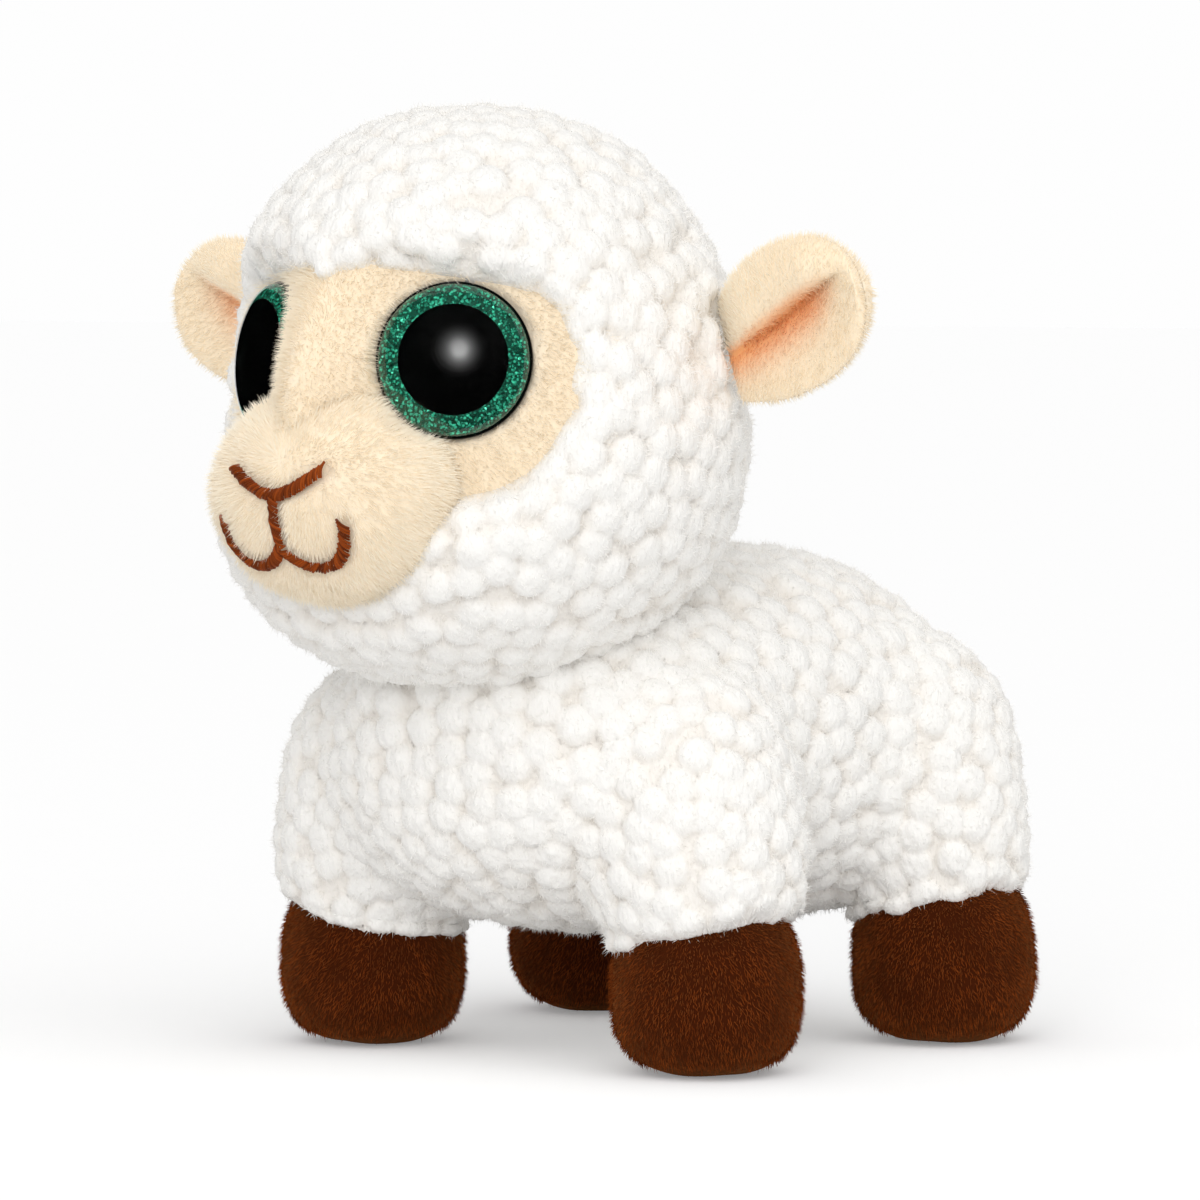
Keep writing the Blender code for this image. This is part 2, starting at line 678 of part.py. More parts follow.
def head_pieces():
    """Fleece cover, face, muzzle, eyes, stitching and stuffing of the head."""
    ear_roots = [ear_root(sign)[0] for _, sign in SIDES]
    curled = HEAD.bm(0, CURL_STEPS, calm_places=[NECK_POINT, *ear_roots])
    cover = piece(curled, "head_cover", "white_fleece")
    face = piece(HEAD.bm(-FACE_RECESS), "face_panel", "peach_plush")
    stuffing_grow = -FLEECE_THICKNESS - CLEARANCE
    stuffing = piece(HEAD.bm(stuffing_grow, INNER_STEPS), "head_stuffing", "stuffing")
    face_front = flattened(0, LARGE_STEPS, 0, "face_front")
    face_back = flattened(-FLEECE_THICKNESS, INNER_STEPS, PLUSH_THICKNESS, "face_back")
    stuffing_front = flattened(0, LARGE_STEPS, PLUSH_THICKNESS + CLEARANCE, "stuffing_front")
    muzzle = piece(MUZZLE.bm(0, MIDDLE_STEPS), "muzzle_cover", "peach_plush")
    muzzle_fill = MUZZLE.bm(-PLUSH_THICKNESS - CLEARANCE, SMALL_STEPS)
    muzzle_stuffing = piece(muzzle_fill, "muzzle_stuffing", "stuffing")
    eyes = [eye_pieces(side, sign) for side, sign in SIDES]
    rooms = [room for _, room, _ in eyes]
    pockets = [pocket for _, _, pocket in eyes]
    cavity = cutter(HEAD.bm(-FLEECE_THICKNESS, INNER_STEPS), "head_cavity")
    muzzle_cavity = cutter(MUZZLE.bm(-PLUSH_THICKNESS, SMALL_STEPS), "muzzle_cavity")
    muzzle_hole = cutter(MUZZLE.bm(CLEARANCE, MIDDLE_STEPS), "muzzle_hole")
    socket = cutter(NECK_BALL.bm(SWIVEL_CLEARANCE, SMALL_STEPS), "head_socket")
    opening = face_prism(0, "face_opening")
    mask = face_prism(-CLEARANCE, "face_mask")
    combine(cover, "DIFFERENCE", [cavity, opening, muzzle_hole, socket])
    combine(face, "INTERSECT", [mask, face_front])
    combine(face, "DIFFERENCE", [face_back, muzzle_hole, *rooms])
    combine(stuffing, "INTERSECT", [stuffing_front])
    combine(stuffing, "DIFFERENCE", [socket, *pockets])
    combine(muzzle, "DIFFERENCE", [muzzle_cavity, face_back, *rooms])
    combine(muzzle_stuffing, "DIFFERENCE", [face_back, *rooms])
    made = [cover, face, stuffing, muzzle, muzzle_stuffing, *embroidery()]
    for pieces, _, _ in eyes:
        made += pieces
    return made


def ear_root(sign):
    """The point of the head that one ear is sewn to, and the way that the ear points."""
    width = HEAD_HALF_WIDTH + CLEARANCE
    depth = HEAD_HALF_DEPTH + CLEARANCE
    level = math.sqrt(1 - (EAR_ROOT_HEIGHT / HEAD_HALF_HEIGHT) ** 2)
    across = sign * width * level * math.cos(EAR_ANGLE_BACK)
    back = depth * level * math.sin(EAR_ANGLE_BACK)
    point = HEAD_CENTRE + Vector((across, back, EAR_ROOT_HEIGHT))
    outward = Vector((sign, -math.tan(EAR_FORWARD), math.tan(EAR_UPWARD))).normalized()
    return point, outward


def past_widest_share(share):
    """How far a share of an ear's length lies from the widest place, at 0, towards the tip, at 1."""
    return max(share - EAR_WIDEST_SHARE, 0) / (1 - EAR_WIDEST_SHARE)


def ear_half_width(share):
    """Half width of an ear at a share of its length: sewn root, broad middle, round tip."""
    rise = math.sin(math.pi / 2 * min(share / EAR_WIDEST_SHARE, 1))
    past_widest = past_widest_share(share)
    root = EAR_ROOT_SHARE + (1 - EAR_ROOT_SHARE) * rise
    tip = (1 - past_widest**EAR_TIP_POWER_SHARE) ** (1 / EAR_TIP_POWER_SHARE)
    return max(EAR_HALF_WIDTH * root * tip, EAR_LEAF_THICKNESS)


def ear_flap(share, across):
    """How far the rolled upper edge stands out of an ear's front leaf, at a place on the leaf."""
    past_fold = across - EAR_FOLD_START_SHARE - EAR_FOLD_CLIMB_SHARE * share
    lip = min(max(past_fold / EAR_LIP_SHARE, 0), 1)
    before_tip = min(max((EAR_FLAP_LENGTH_SHARE - share) / EAR_FLAP_END_SHARE, 0), 1)
    clear_of_head = min(share / EAR_WIDEST_SHARE, 1)
    return EAR_FLAP_RISE * lip * before_tip * clear_of_head * math.sqrt(1 - across**2)


def ear_grid(sign, layer, outer):
    """Points of one face of an ear's leaf, in rows from the pinched root to the tip."""
    point, outward = ear_root(sign)
    widthwise = (UP - outward * UP.dot(outward)).normalized()
    frontward = outward.cross(widthwise) * sign
    front_face = layer > 0 and outer
    rows, columns = EAR_STEPS
    root_gap = CLEARANCE + EAR_ROOT_THICKNESS
    grid = []
    for i in range(rows + 1):
        share = 1 - (1 - i / rows) ** 2
        along = outward * (root_gap + (EAR_LENGTH - root_gap) * share)
        half = ear_half_width(share)
        fullness = min(share / EAR_PINCH_SHARE, 1)
        thickness = EAR_ROOT_THICKNESS + (EAR_LEAF_THICKNESS - EAR_ROOT_THICKNESS) * fullness
        offset = layer * (CLEARANCE / 2 + thickness * outer)
        cup = EAR_CUP * min(share / EAR_WIDEST_SHARE, 1)
        row = []
        for j in range(columns + 1):
            across = 2 * j / columns - 1
            from_middle = math.hypot(across * half / EAR_HALF_WIDTH, past_widest_share(share))
            forward = cup * from_middle**EAR_CUP_POWER_SHARE + offset
            if front_face:
                forward += ear_flap(share, across)
            row.append(point + along + widthwise * half * across + frontward * forward)
        grid.append(row)
    return grid


def ear_pieces(side, sign):
    """Front and back leaf of one ear, thin at the root so that they clear the head as they swing."""
    leaves = []
    for name, layer, finish_name in (("front", 1, "apricot_plush"), ("back", -1, "peach_plush")):
        bm = slab(ear_grid(sign, layer, 0), ear_grid(sign, layer, 1))
        leaves.append(piece(bm, f"{side}_ear_{name}", finish_name))
    return leaves


@dataclass
class LegPlan:
    """Place and sizes of the fleece tube of a leg."""

    across: float
    behind_head: float
    radius: float
    centre_height: float
    half_height: float
    taper: float


FRONT_LEG = LegPlan(
    FRONT_LEG_ACROSS,
    FRONT_LEG_BEHIND_HEAD,
    FRONT_LEG_RADIUS,
    FRONT_LEG_CENTRE_HEIGHT,
    FRONT_LEG_HALF_HEIGHT,
    FRONT_LEG_TAPER_SHARE,
)
REAR_LEG = LegPlan(
    REAR_LEG_ACROSS,
    REAR_LEG_BEHIND_HEAD,
    REAR_LEG_RADIUS,
    REAR_LEG_CENTRE_HEIGHT,
    REAR_LEG_HALF_HEIGHT,
    REAR_LEG_TAPER_SHARE,
)


def leg_pieces(name, sign, plan):
    """Fleece tube, hoof and stuffing of one leg, cut clear of the body through its swing."""
    x = sign * plan.across
    y = HEAD_Y + plan.behind_head
    inward = sign * math.tan(LEG_LEAN)
    hip = Vector((x - inward * (HIP_HEIGHT - HOOF_SEAM_HEIGHT), y, HIP_HEIGHT))
    tube = Form(
        (x - inward * (plan.centre_height - HOOF_SEAM_HEIGHT), y, plan.centre_height),
        (plan.radius, plan.radius, plan.half_height),
        LEG_POWER_SHARE,
        plan.taper,
        turn=Matrix.Rotation(-sign * LEG_LEAN, 4, "Y"),
    )
    foot = Form(
        (x, y, HOOF_HALF_HEIGHT - SOLE_FLAT_DEPTH),
        (HOOF_RADIUS, HOOF_RADIUS, HOOF_HALF_HEIGHT),
        HOOF_POWER_SHARE,
        HOOF_TAPER_SHARE,
    )
    cover = piece(tube.bm(0, MIDDLE_STEPS), f"{name}_cover", "white_fleece")
    hoof = piece(foot.bm(0, MIDDLE_STEPS), f"{name}_hoof", "brown_plush")
    core = tube.bm(-FLEECE_THICKNESS - CLEARANCE, SMALL_STEPS)
    stuffing = piece(core, f"{name}_stuffing", "stuffing")
    tube_cavity = cutter(tube.bm(-FLEECE_THICKNESS, SMALL_STEPS), f"{name}_tube_cavity")
    hoof_cavity = cutter(foot.bm(-PLUSH_THICKNESS, SMALL_STEPS), f"{name}_hoof_cavity")
    hoof_core = foot.bm(-PLUSH_THICKNESS - CLEARANCE, SMALL_STEPS)
    hoof_fill = cutter(hoof_core, f"{name}_hoof_fill")
    reach = HOOF_RADIUS + OVERRUN
    low = Vector((x - reach, y - reach, -OVERRUN))
    high = Vector((x + reach, y + reach, plan.centre_height + plan.half_height + OVERRUN))
    below_seam = HOOF_SEAM_HEIGHT - CLEARANCE / 2
    above_seam = HOOF_SEAM_HEIGHT + CLEARANCE / 2
    lower = cutter(block(low, (high.x, high.y, above_seam)), f"{name}_below_tube")
    upper = cutter(block((low.x, low.y, below_seam), high), f"{name}_above_hoof")
    ground = cutter(block(low, (high.x, high.y, 0)), f"{name}_ground")
    room = swept(TRUNK, CLEARANCE, hip, "X", LEG_SWING, f"{name}_room")
    combine(cover, "DIFFERENCE", [tube_cavity, lower, room])
    combine(hoof, "DIFFERENCE", [hoof_cavity, upper, ground])
    waist_profile = [
        (0, -WAIST_HALF_HEIGHT),
        (WAIST_RADIUS, -WAIST_HALF_HEIGHT),
        (WAIST_RADIUS, WAIST_HALF_HEIGHT),
        (0, WAIST_HALF_HEIGHT),
    ]
    waist_place = Matrix.Translation((x, y, HOOF_SEAM_HEIGHT))
    waist = cutter(turned(waist_profile, SMALL_STEPS[0], waist_place), f"{name}_waist")
    combine(hoof_fill, "DIFFERENCE", [upper])
    combine(stuffing, "DIFFERENCE", [lower])
    combine(stuffing, "UNION", [waist, hoof_fill])
    combine(stuffing, "DIFFERENCE", [room])
    carry(hinge(f"{name}_hip", hip), [cover, hoof, stuffing])


def tail_piece():
    """A short tail that hangs from its top on the rump."""
    back = TRUNK_CENTRE.y + TRUNK_HALF_LENGTH
    form = Form(TAIL_CENTRE, (TAIL_HALF_WIDTH, TAIL_HALF_DEPTH, TAIL_HALF_HEIGHT))
    tail = piece(form.bm(0, SMALL_STEPS), "tail", "white_fleece")
    combine(tail, "DIFFERENCE", [cutter(TRUNK.bm(CLEARANCE), "tail_room")])
    carry(hinge("tail_root", (0, back, TAIL_ROOT_HEIGHT)), [tail])


def main():
    clear_scene()
    trunk_pieces()
    neck = piece(NECK_BALL.bm(0, SMALL_STEPS), "neck_stuffing", "stuffing")
    neck_hinge = hinge("neck_middle", NECK_POINT)
    head = head_pieces()
    for side, sign in SIDES:
        ear_hinge = hinge(f"{side}_ear_root", ear_root(sign)[0])
        carry(ear_hinge, ear_pieces(side, sign))
        carry(neck_hinge, [ear_hinge])
    carry(neck_hinge, [neck, *head])
    for side, sign in SIDES:
        leg_pieces(f"front_{side}_leg", sign, FRONT_LEG)
        leg_pieces(f"rear_{side}_leg", sign, REAR_LEG)
    tail_piece()


main()
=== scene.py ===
"""The look of the small plush sheep: curly fleece, peach plush, brown hooves, stitching and eyes.

Lengths are in metres, in the frame of the part: +Z is up, the sheep faces -Y, its left is at +X.
"""

import logging
import math
from collections.abc import Callable
from dataclasses import dataclass
from enum import Enum

import bmesh
import bpy
import numpy as np
from mathutils import Matrix, Vector, noise


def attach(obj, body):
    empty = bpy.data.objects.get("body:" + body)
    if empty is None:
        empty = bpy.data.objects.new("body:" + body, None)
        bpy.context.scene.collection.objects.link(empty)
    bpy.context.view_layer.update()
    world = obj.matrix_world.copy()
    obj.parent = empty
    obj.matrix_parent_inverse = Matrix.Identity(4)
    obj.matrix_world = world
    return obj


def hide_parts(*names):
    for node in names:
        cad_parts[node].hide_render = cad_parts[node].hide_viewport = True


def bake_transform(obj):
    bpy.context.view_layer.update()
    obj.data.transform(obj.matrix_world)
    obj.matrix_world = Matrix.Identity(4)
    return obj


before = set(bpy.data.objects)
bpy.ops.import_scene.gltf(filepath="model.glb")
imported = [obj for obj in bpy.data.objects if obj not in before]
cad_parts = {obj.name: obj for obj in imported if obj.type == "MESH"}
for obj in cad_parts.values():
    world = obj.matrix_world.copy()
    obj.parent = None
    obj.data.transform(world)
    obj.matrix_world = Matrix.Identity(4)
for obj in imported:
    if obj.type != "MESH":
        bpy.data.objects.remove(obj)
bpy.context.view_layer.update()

LOG = logging.getLogger("plush_sheep")
Colour = tuple[float, float, float]
Place = tuple[float, float, float]
Array = np.ndarray
Piece = bpy.types.Object
Pieces = list[bpy.types.Object]
Socket = bpy.types.NodeSocket
MM = 0.001


def smooth_step(values: Array) -> Array:
    """Eases values from 0 to 1, and holds them there outside that range."""
    held = np.clip(values, 0, 1)
    return held * held * (3 - 2 * held)


def unit(vectors: Array) -> Array:
    """Vectors of length one."""
    return vectors / np.maximum(np.linalg.norm(vectors, axis=-1, keepdims=True), 1e-9)


def wander(points: Array, size: float, seed: float) -> Array:
    """Smooth random values over space.

    Args:
        points: Places, one row each.
        size: Width of one hill or hollow.
        seed: Shift that makes one pattern unlike another.

    Returns:
        A value for each place, about -1 to 1.
    """
    shift = Vector((seed, -seed, 2 * seed))
    return np.array([noise.noise(Vector(point) / size + shift) for point in points])


# Forms that the covers are cut to


@dataclass(frozen=True)
class Form:
    """A plump closed shape, as in the part."""

    centre: Place
    half_sizes: Place
    power: float = 2.0
    taper: float = 0.0
    axis: int = 2
    section: float = 2.0
    lean: float = 0.0

    def turn(self) -> Array:
        """The turn about Y from the shape's own axes to the part's."""
        return np.array(Matrix.Rotation(self.lean, 3, "Y"))

    def sides(self) -> list[int]:
        """The two axes that lie across the shape."""
        return [i for i in range(3) if i != self.axis]

    def surface(self, directions: Array, grow: float = 0.0) -> Array:
        """Points of the surface.

        Args:
            directions: Unit vectors from the middle, one row each.
            grow: Distance that the shape is grown by all round.

        Returns:
            The point of the surface in each direction.
        """
        across = np.abs(directions[:, self.sides()]) ** self.section
        outward = across.sum(1) ** (self.power / self.section)
        along = np.abs(directions[:, self.axis]) ** self.power
        shares = directions * ((outward + along) ** (-1 / self.power))[:, None]
        points = shares * (np.array(self.half_sizes) + grow)
        points[:, self.sides()] *= (1 + self.taper * shares[:, self.axis])[:, None]
        return points @ self.turn().T + self.centre

    def share(self, points: Array, grow: float = 0.0) -> Array:
        """How far out points lie, where 1 is on the surface."""
        own = (points - self.centre) @ self.turn() / (np.array(self.half_sizes) + grow)
        fuller = 1 + self.taper * np.clip(own[:, self.axis], -1, 1)
        across = np.abs(own[:, self.sides()] / fuller[:, None]) ** self.section
        outward = across.sum(1) ** (self.power / self.section)
        along = np.abs(own[:, self.axis]) ** self.power
        return np.maximum(outward + along, 1e-9) ** (1 / self.power)

    def gap(self, points: Array) -> Array:
        """Distance of points outside the surface, below zero inside."""
        reach = np.linalg.norm(points - self.centre, axis=1)
        return reach * (1 - 1 / self.share(points))

    def pushed_out(self, points: Array, grow: float) -> Array:
        """The points, with those inside the grown shape moved out to its surface."""
        share = np.minimum(self.share(points, grow), 1)
        return (points - self.centre) / share[:, None] + self.centre

    def outward(self, points: Array) -> Array:
        """Outward directions at points near the surface."""
        own = (points - self.centre) @ self.turn() / np.array(self.half_sizes)
        powers = np.full(3, self.section)
        powers[self.axis] = self.power
        slopes = np.sign(own) * np.abs(own) ** (powers - 1) / np.array(self.half_sizes)
        return unit(slopes) @ self.turn().T

    def front(self, across: Array, height: Array, grow: float = 0.0) -> Array:
        """How far the surface lies in front of the middle, for places seen from the front."""
        width, depth, tall = (half + grow for half in self.half_sizes)
        rise = np.clip(np.abs(height) / tall, 0, 1)
        fuller = 1 + self.taper * np.clip(height / tall, -1, 1)
        level = (1 - rise**self.power) ** (1 / self.power)
        left = level**self.section - np.abs(across / width / fuller) ** self.section
        return depth * fuller * np.maximum(left, 0) ** (1 / self.section)


HEAD = Form((0, -0.02355, 0.1058), (0.0416, 0.0418, 0.0442), power=2.25, taper=-0.08)
TRUNK = Form((0, 0.01645, 0.0492), (0.0375, 0.0520, 0.0303), power=3.0, taper=0.08, axis=1, section=2.3)
MUZZLE = Form((0, -0.05625, 0.0908), (0.0208, 0.0150, 0.0170), section=2.4)
TAIL = Form((0, 0.0685, 0.0485), (0.0084, 0.0066, 0.0128))
SOFT_HOLLOW = 10 * MM


def ball_grid(cells: int) -> tuple[Array, Array]:
    """An even grid over a ball.

    Args:
        cells: Cells along each edge of the ball's six sides.

    Returns:
        The directions of the corners, and the four corners of each cell.
    """
    steps = np.tan(np.linspace(-math.pi / 4, math.pi / 4, cells + 1))
    first, second = (side.ravel() for side in np.meshgrid(steps, steps, indexing="ij"))
    index = np.arange((cells + 1) ** 2).reshape(cells + 1, cells + 1)
    corners = (index[:-1, :-1], index[1:, :-1], index[1:, 1:], index[:-1, 1:])
    side = np.stack(corners, -1).reshape(-1, 4)
    points, quads = [], []
    for axis in range(3):
        for sign in (1, -1):
            block = np.empty((len(first), 3))
            block[:, axis] = sign
            block[:, (axis + 1) % 3] = first
            block[:, (axis + 2) % 3] = second
            quads.append(side[:, ::sign] + len(points) * len(first))
            points.append(block)
    joined, order = np.unique(np.round(np.concatenate(points), 6), axis=0, return_inverse=True)
    return unit(joined), order.reshape(-1)[np.concatenate(quads)]


def added(name: str, data: bpy.types.ID) -> Piece:
    """A new object in the scene."""
    made = bpy.data.objects.new(name, data)
    bpy.context.scene.collection.objects.link(made)
    return made


def object_of(name: str, points: Array, faces: list, fields: dict | None = None) -> Piece:
    """Puts a smooth mesh in the scene.

    Args:
        name: Name of the piece.
        points: Corners, one row each.
        faces: Corner numbers of each face, outward side anticlockwise.
        fields: Values or vectors at the corners, by the attribute's name.

    Returns:
        The new object.
    """
    mesh = bpy.data.meshes.new(name)
    mesh.from_pydata(np.asarray(points).tolist(), [], [list(face) for face in faces])
    for field_name, values in (fields or {}).items():
        values = np.asarray(values, np.float32)
        flat = values.ndim == 1
        attribute = mesh.attributes.new(field_name, "FLOAT" if flat else "FLOAT_VECTOR", "POINT")
        attribute.data.foreach_set("value" if flat else "vector", values.ravel())
    mesh.shade_smooth()
    return added(name, mesh)


def refined(place: Callable, directions: Array, faces: list, longest: float) -> tuple[Array, list]:
    """Splits the cells of a ball until the skin that is laid on them has no long edges.

    Args:
        place: Function that gives the point of the skin for each direction from the ball's middle.
        directions: Corners of the ball, one row each.
        faces: Corner numbers of each cell.
        longest: Greatest length of an edge of the skin.

    Returns:
        The new directions and faces.
    """
    for _ in range(3):
        mesh = bmesh.new()
        corners = [mesh.verts.new(direction) for direction in directions.tolist()]
        for face in faces:
            mesh.faces.new([corners[i] for i in face])
        mesh.verts.index_update()
        points = place(directions)
        mesh.edges.ensure_lookup_table()
        ends = np.array([(edge.verts[0].index, edge.verts[1].index) for edge in mesh.edges])
        lengths = np.linalg.norm(points[ends[:, 0]] - points[ends[:, 1]], axis=1)
        split = [mesh.edges[i] for i in np.nonzero(lengths > longest)[0]]
        bmesh.ops.subdivide_edges(mesh, edges=split, cuts=1, use_grid_fill=True)
        mesh.verts.index_update()
        directions = unit(np.array([tuple(corner.co) for corner in mesh.verts]))
        faces = [tuple(corner.index for corner in face.verts) for face in mesh.faces]
        mesh.free()
    return directions, faces


def tube_faces(rings: int, around: int, closed: bool = True) -> list:
    """Faces of a skin of equal rings, with a fan of one point at each end where it is closed."""
    faces = []
    for ring in range(rings - 1):
        low, high = ring * around, (ring + 1) * around
        for i in range(around):
            k = (i + 1) % around
            faces.append((low + i, low + k, high + k, high + i))
    if closed:
        first, last = rings * around, rings * around + 1
        top = (rings - 1) * around
        faces += [(first, (i + 1) % around, i) for i in range(around)]
        faces += [(last, top + i, top + (i + 1) % around) for i in range(around)]
    return faces


def circle(around: int) -> Array:
    """Even points round a circle of radius one."""
    angles = np.arange(around) * 2 * math.pi / around
    return np.stack((np.cos(angles), np.sin(angles)), 1)


def carried(points: Array, place: Matrix) -> Array:
    """Points given in a frame of their own, carried to where that frame lies."""
    return points @ np.array(place.to_3x3()).T + np.array(place.translation)


def turned(name: str, profile: list, place: Matrix, around: int = 96) -> Piece:
    """A closed solid turned round its own Z.

    Args:
        name: Name of the piece.
        profile: Radius and height pairs from the lower middle to the upper middle.
        place: Where the solid's own frame lies.
        around: Facets round it.

    Returns:
        The new object.
    """
    ring = circle(around)
    rows = [np.column_stack((ring * radius, np.full(around, height))) for radius, height in profile[1:-1]]
    ends = np.array([(0, 0, profile[0][1]), (0, 0, profile[-1][1])])
    points = carried(np.concatenate([*rows, ends]), place)
    return object_of(name, points, tube_faces(len(rows), around))


# Node trees


class NodeSheet:
    """Lays out the nodes of one tree and links them as they are added."""

    def __init__(self, tree: bpy.types.NodeTree) -> None:
        """Takes the tree to lay out."""
        self.tree = tree

    def fill(self, node: bpy.types.Node, inputs: dict) -> None:
        """Gives inputs of a node, by their name or number, a value or a socket."""
        for name, value in inputs.items():
            if isinstance(value, Socket):
                self.tree.links.new(value, node.inputs[name])
            else:
                node.inputs[name].default_value = value

    def add(self, kind: str, inputs: dict | None = None, **settings: object) -> bpy.types.Node:
        """Adds a node.

        Args:
            kind: Blender's name for the sort of node.
            inputs: A value or a socket for inputs, by their name or number.
            settings: Properties of the node.

        Returns:
            The new node.
        """
        node = self.tree.nodes.new(kind)
        for name, value in settings.items():
            setattr(node, name, value)
        self.fill(node, inputs or {})
        return node

    def first(self, kind: str, inputs: dict | None = None, **settings: object) -> Socket:
        """The first output of a new node."""
        return self.add(kind, inputs, **settings).outputs[0]

    def maths(self, operation: str, *values: object, clamp: bool = False) -> Socket:
        """The result of one Math node."""
        return self.first("ShaderNodeMath", dict(enumerate(values)), operation=operation, use_clamp=clamp)

    def vector(self, operation: str, *values: object) -> Socket:
        """The result of one Vector Math node on vectors."""
        return self.first("ShaderNodeVectorMath", dict(enumerate(values)), operation=operation)

    def scaled(self, vector: object, factor: object) -> Socket:
        """A vector times a number."""
        return self.first("ShaderNodeVectorMath", {0: vector, "Scale": factor}, operation="SCALE")

    def mixed(self, factor: object, first: object, second: object) -> Socket:
        """A colour between two colours."""
        node = self.add("ShaderNodeMix", {0: factor, 6: first, 7: second}, data_type="RGBA")
        return node.outputs[2]

    def spread(self, value: object, low: float, high: float, to_low: float, to_high: float) -> Socket:
        """A value carried from one range to another and held there."""
        inputs = {0: value, 1: low, 2: high, 3: to_low, 4: to_high}
        return self.first("ShaderNodeMapRange", inputs)

    def noise(self, place: Socket, scale: object, detail: float = 2.0, output: int | str = 0) -> Socket:
        """Smooth random values over space, or colours where that output is named."""
        inputs = {"Vector": place, "Scale": scale, "Detail": detail}
        return self.add("ShaderNodeTexNoise", inputs).outputs[output]

    def drift(self, place: Socket, scale: object) -> Socket:
        """Smooth random vectors over space, centred on zero."""
        return self.vector("SUBTRACT", self.noise(place, scale, 1.0, "Color"), (0.5, 0.5, 0.5))


class ShapeSheet(NodeSheet):
    """The sheet of a Geometry Nodes tree that works on a piece."""

    def __init__(self, name: str, *sizes: str) -> None:
        """Starts the tree.

        Args:
            name: Name of the tree.
            sizes: Names of its inputs after the geometry.
        """
        super().__init__(bpy.data.node_groups.new(name, "GeometryNodeTree"))
        sorts = {"Seed": "Int", "Material": "Material"}
        sockets = self.tree.interface
        for way in ("INPUT", "OUTPUT"):
            sockets.new_socket(name="Geometry", in_out=way, socket_type="NodeSocketGeometry")
        for label in sizes:
            sort = sorts.get(label, "Float")
            sockets.new_socket(name=label, in_out="INPUT", socket_type=f"NodeSocket{sort}")
        outputs = self.add("NodeGroupInput").outputs
        self.given = {socket.name: socket for socket in outputs if socket.name}
        self.out = self.add("NodeGroupOutput")

    def attribute(self, name: str, kind: str = "FLOAT") -> Socket:
        """An attribute of the piece."""
        node = self.add("GeometryNodeInputNamedAttribute", {"Name": name}, data_type=kind)
        return node.outputs["Attribute"]

    def chance(self, low: float, high: float, **given: object) -> Socket:
        """A random number for each point, by the node's own Seed or ID."""
        inputs = {2: low, 3: high} | given
        return self.add("FunctionNodeRandomValue", inputs, data_type="FLOAT").outputs[1]

    def stray(self) -> Socket:
        """A random vector for each point."""
        inputs = {0: (-1.0, -1.0, -1.0), 1: (1.0, 1.0, 1.0), "Seed": self.given["Seed"]}
        return self.first("FunctionNodeRandomValue", inputs, data_type="FLOAT_VECTOR")

    def turned_to(self, vector: Socket) -> Socket:
        """The turn that brings Z to a vector."""
        return self.first("FunctionNodeAlignRotationToVector", {"Vector": vector}, axis="Z")

    def moved(self, geometry: Socket, offset: Socket) -> Socket:
        """The geometry with its points moved."""
        return self.first("GeometryNodeSetPosition", {"Geometry": geometry, "Offset": offset})

    def stored(self, geometry: Socket, name: str, value: Socket, domain: str = "POINT") -> Socket:
        """The geometry with a value kept in it under a name."""
        inputs = {"Geometry": geometry, "Name": name, "Value": value}
        return self.first("GeometryNodeStoreNamedAttribute", inputs, data_type="FLOAT", domain=domain)

    def laid(self, points: Socket, instance: Socket, turn: Socket, size: Socket) -> Socket:
        """Copies of a shape on points."""
        inputs = {"Points": points, "Instance": instance, "Rotation": turn, "Scale": size}
        return self.first("GeometryNodeInstanceOnPoints", inputs)

    def real(self, copies: Socket) -> Socket:
        """Copies turned into plain geometry."""
        return self.first("GeometryNodeRealizeInstances", {"Geometry": copies})

    def ended(self, geometry: Socket) -> bpy.types.NodeTree:
        """Gives the geometry its material and ends the tree with it."""
        inputs = {"Geometry": geometry, "Material": self.given["Material"]}
        self.fill(self.out, {0: self.first("GeometryNodeSetMaterial", inputs)})
        return self.tree


def shaped(piece: Piece, tree: bpy.types.NodeTree, values: dict) -> Piece:
    """Runs a tree on a piece and keeps the plain mesh that comes out.

    Args:
        piece: Object that the tree works on.
        tree: Geometry Nodes tree.
        values: Value of each named input.

    Returns:
        The same object, with its new mesh and no modifier.
    """
    modifier = piece.modifiers.new(tree.name, "NODES")
    modifier.node_group = tree
    for item in tree.interface.items_tree:
        if item.in_out == "INPUT" and item.name in values:
            modifier[item.identifier] = values[item.name]
    return settled(piece)


def settled(piece: Piece) -> Piece:
    """The piece with its modifiers worked into a plain mesh."""
    graph = bpy.context.evaluated_depsgraph_get()
    graph.update()
    mesh = bpy.data.meshes.new_from_object(
        piece.evaluated_get(graph), preserve_all_data_layers=True, depsgraph=graph
    )
    piece.modifiers.clear()
    piece.data = mesh
    return piece


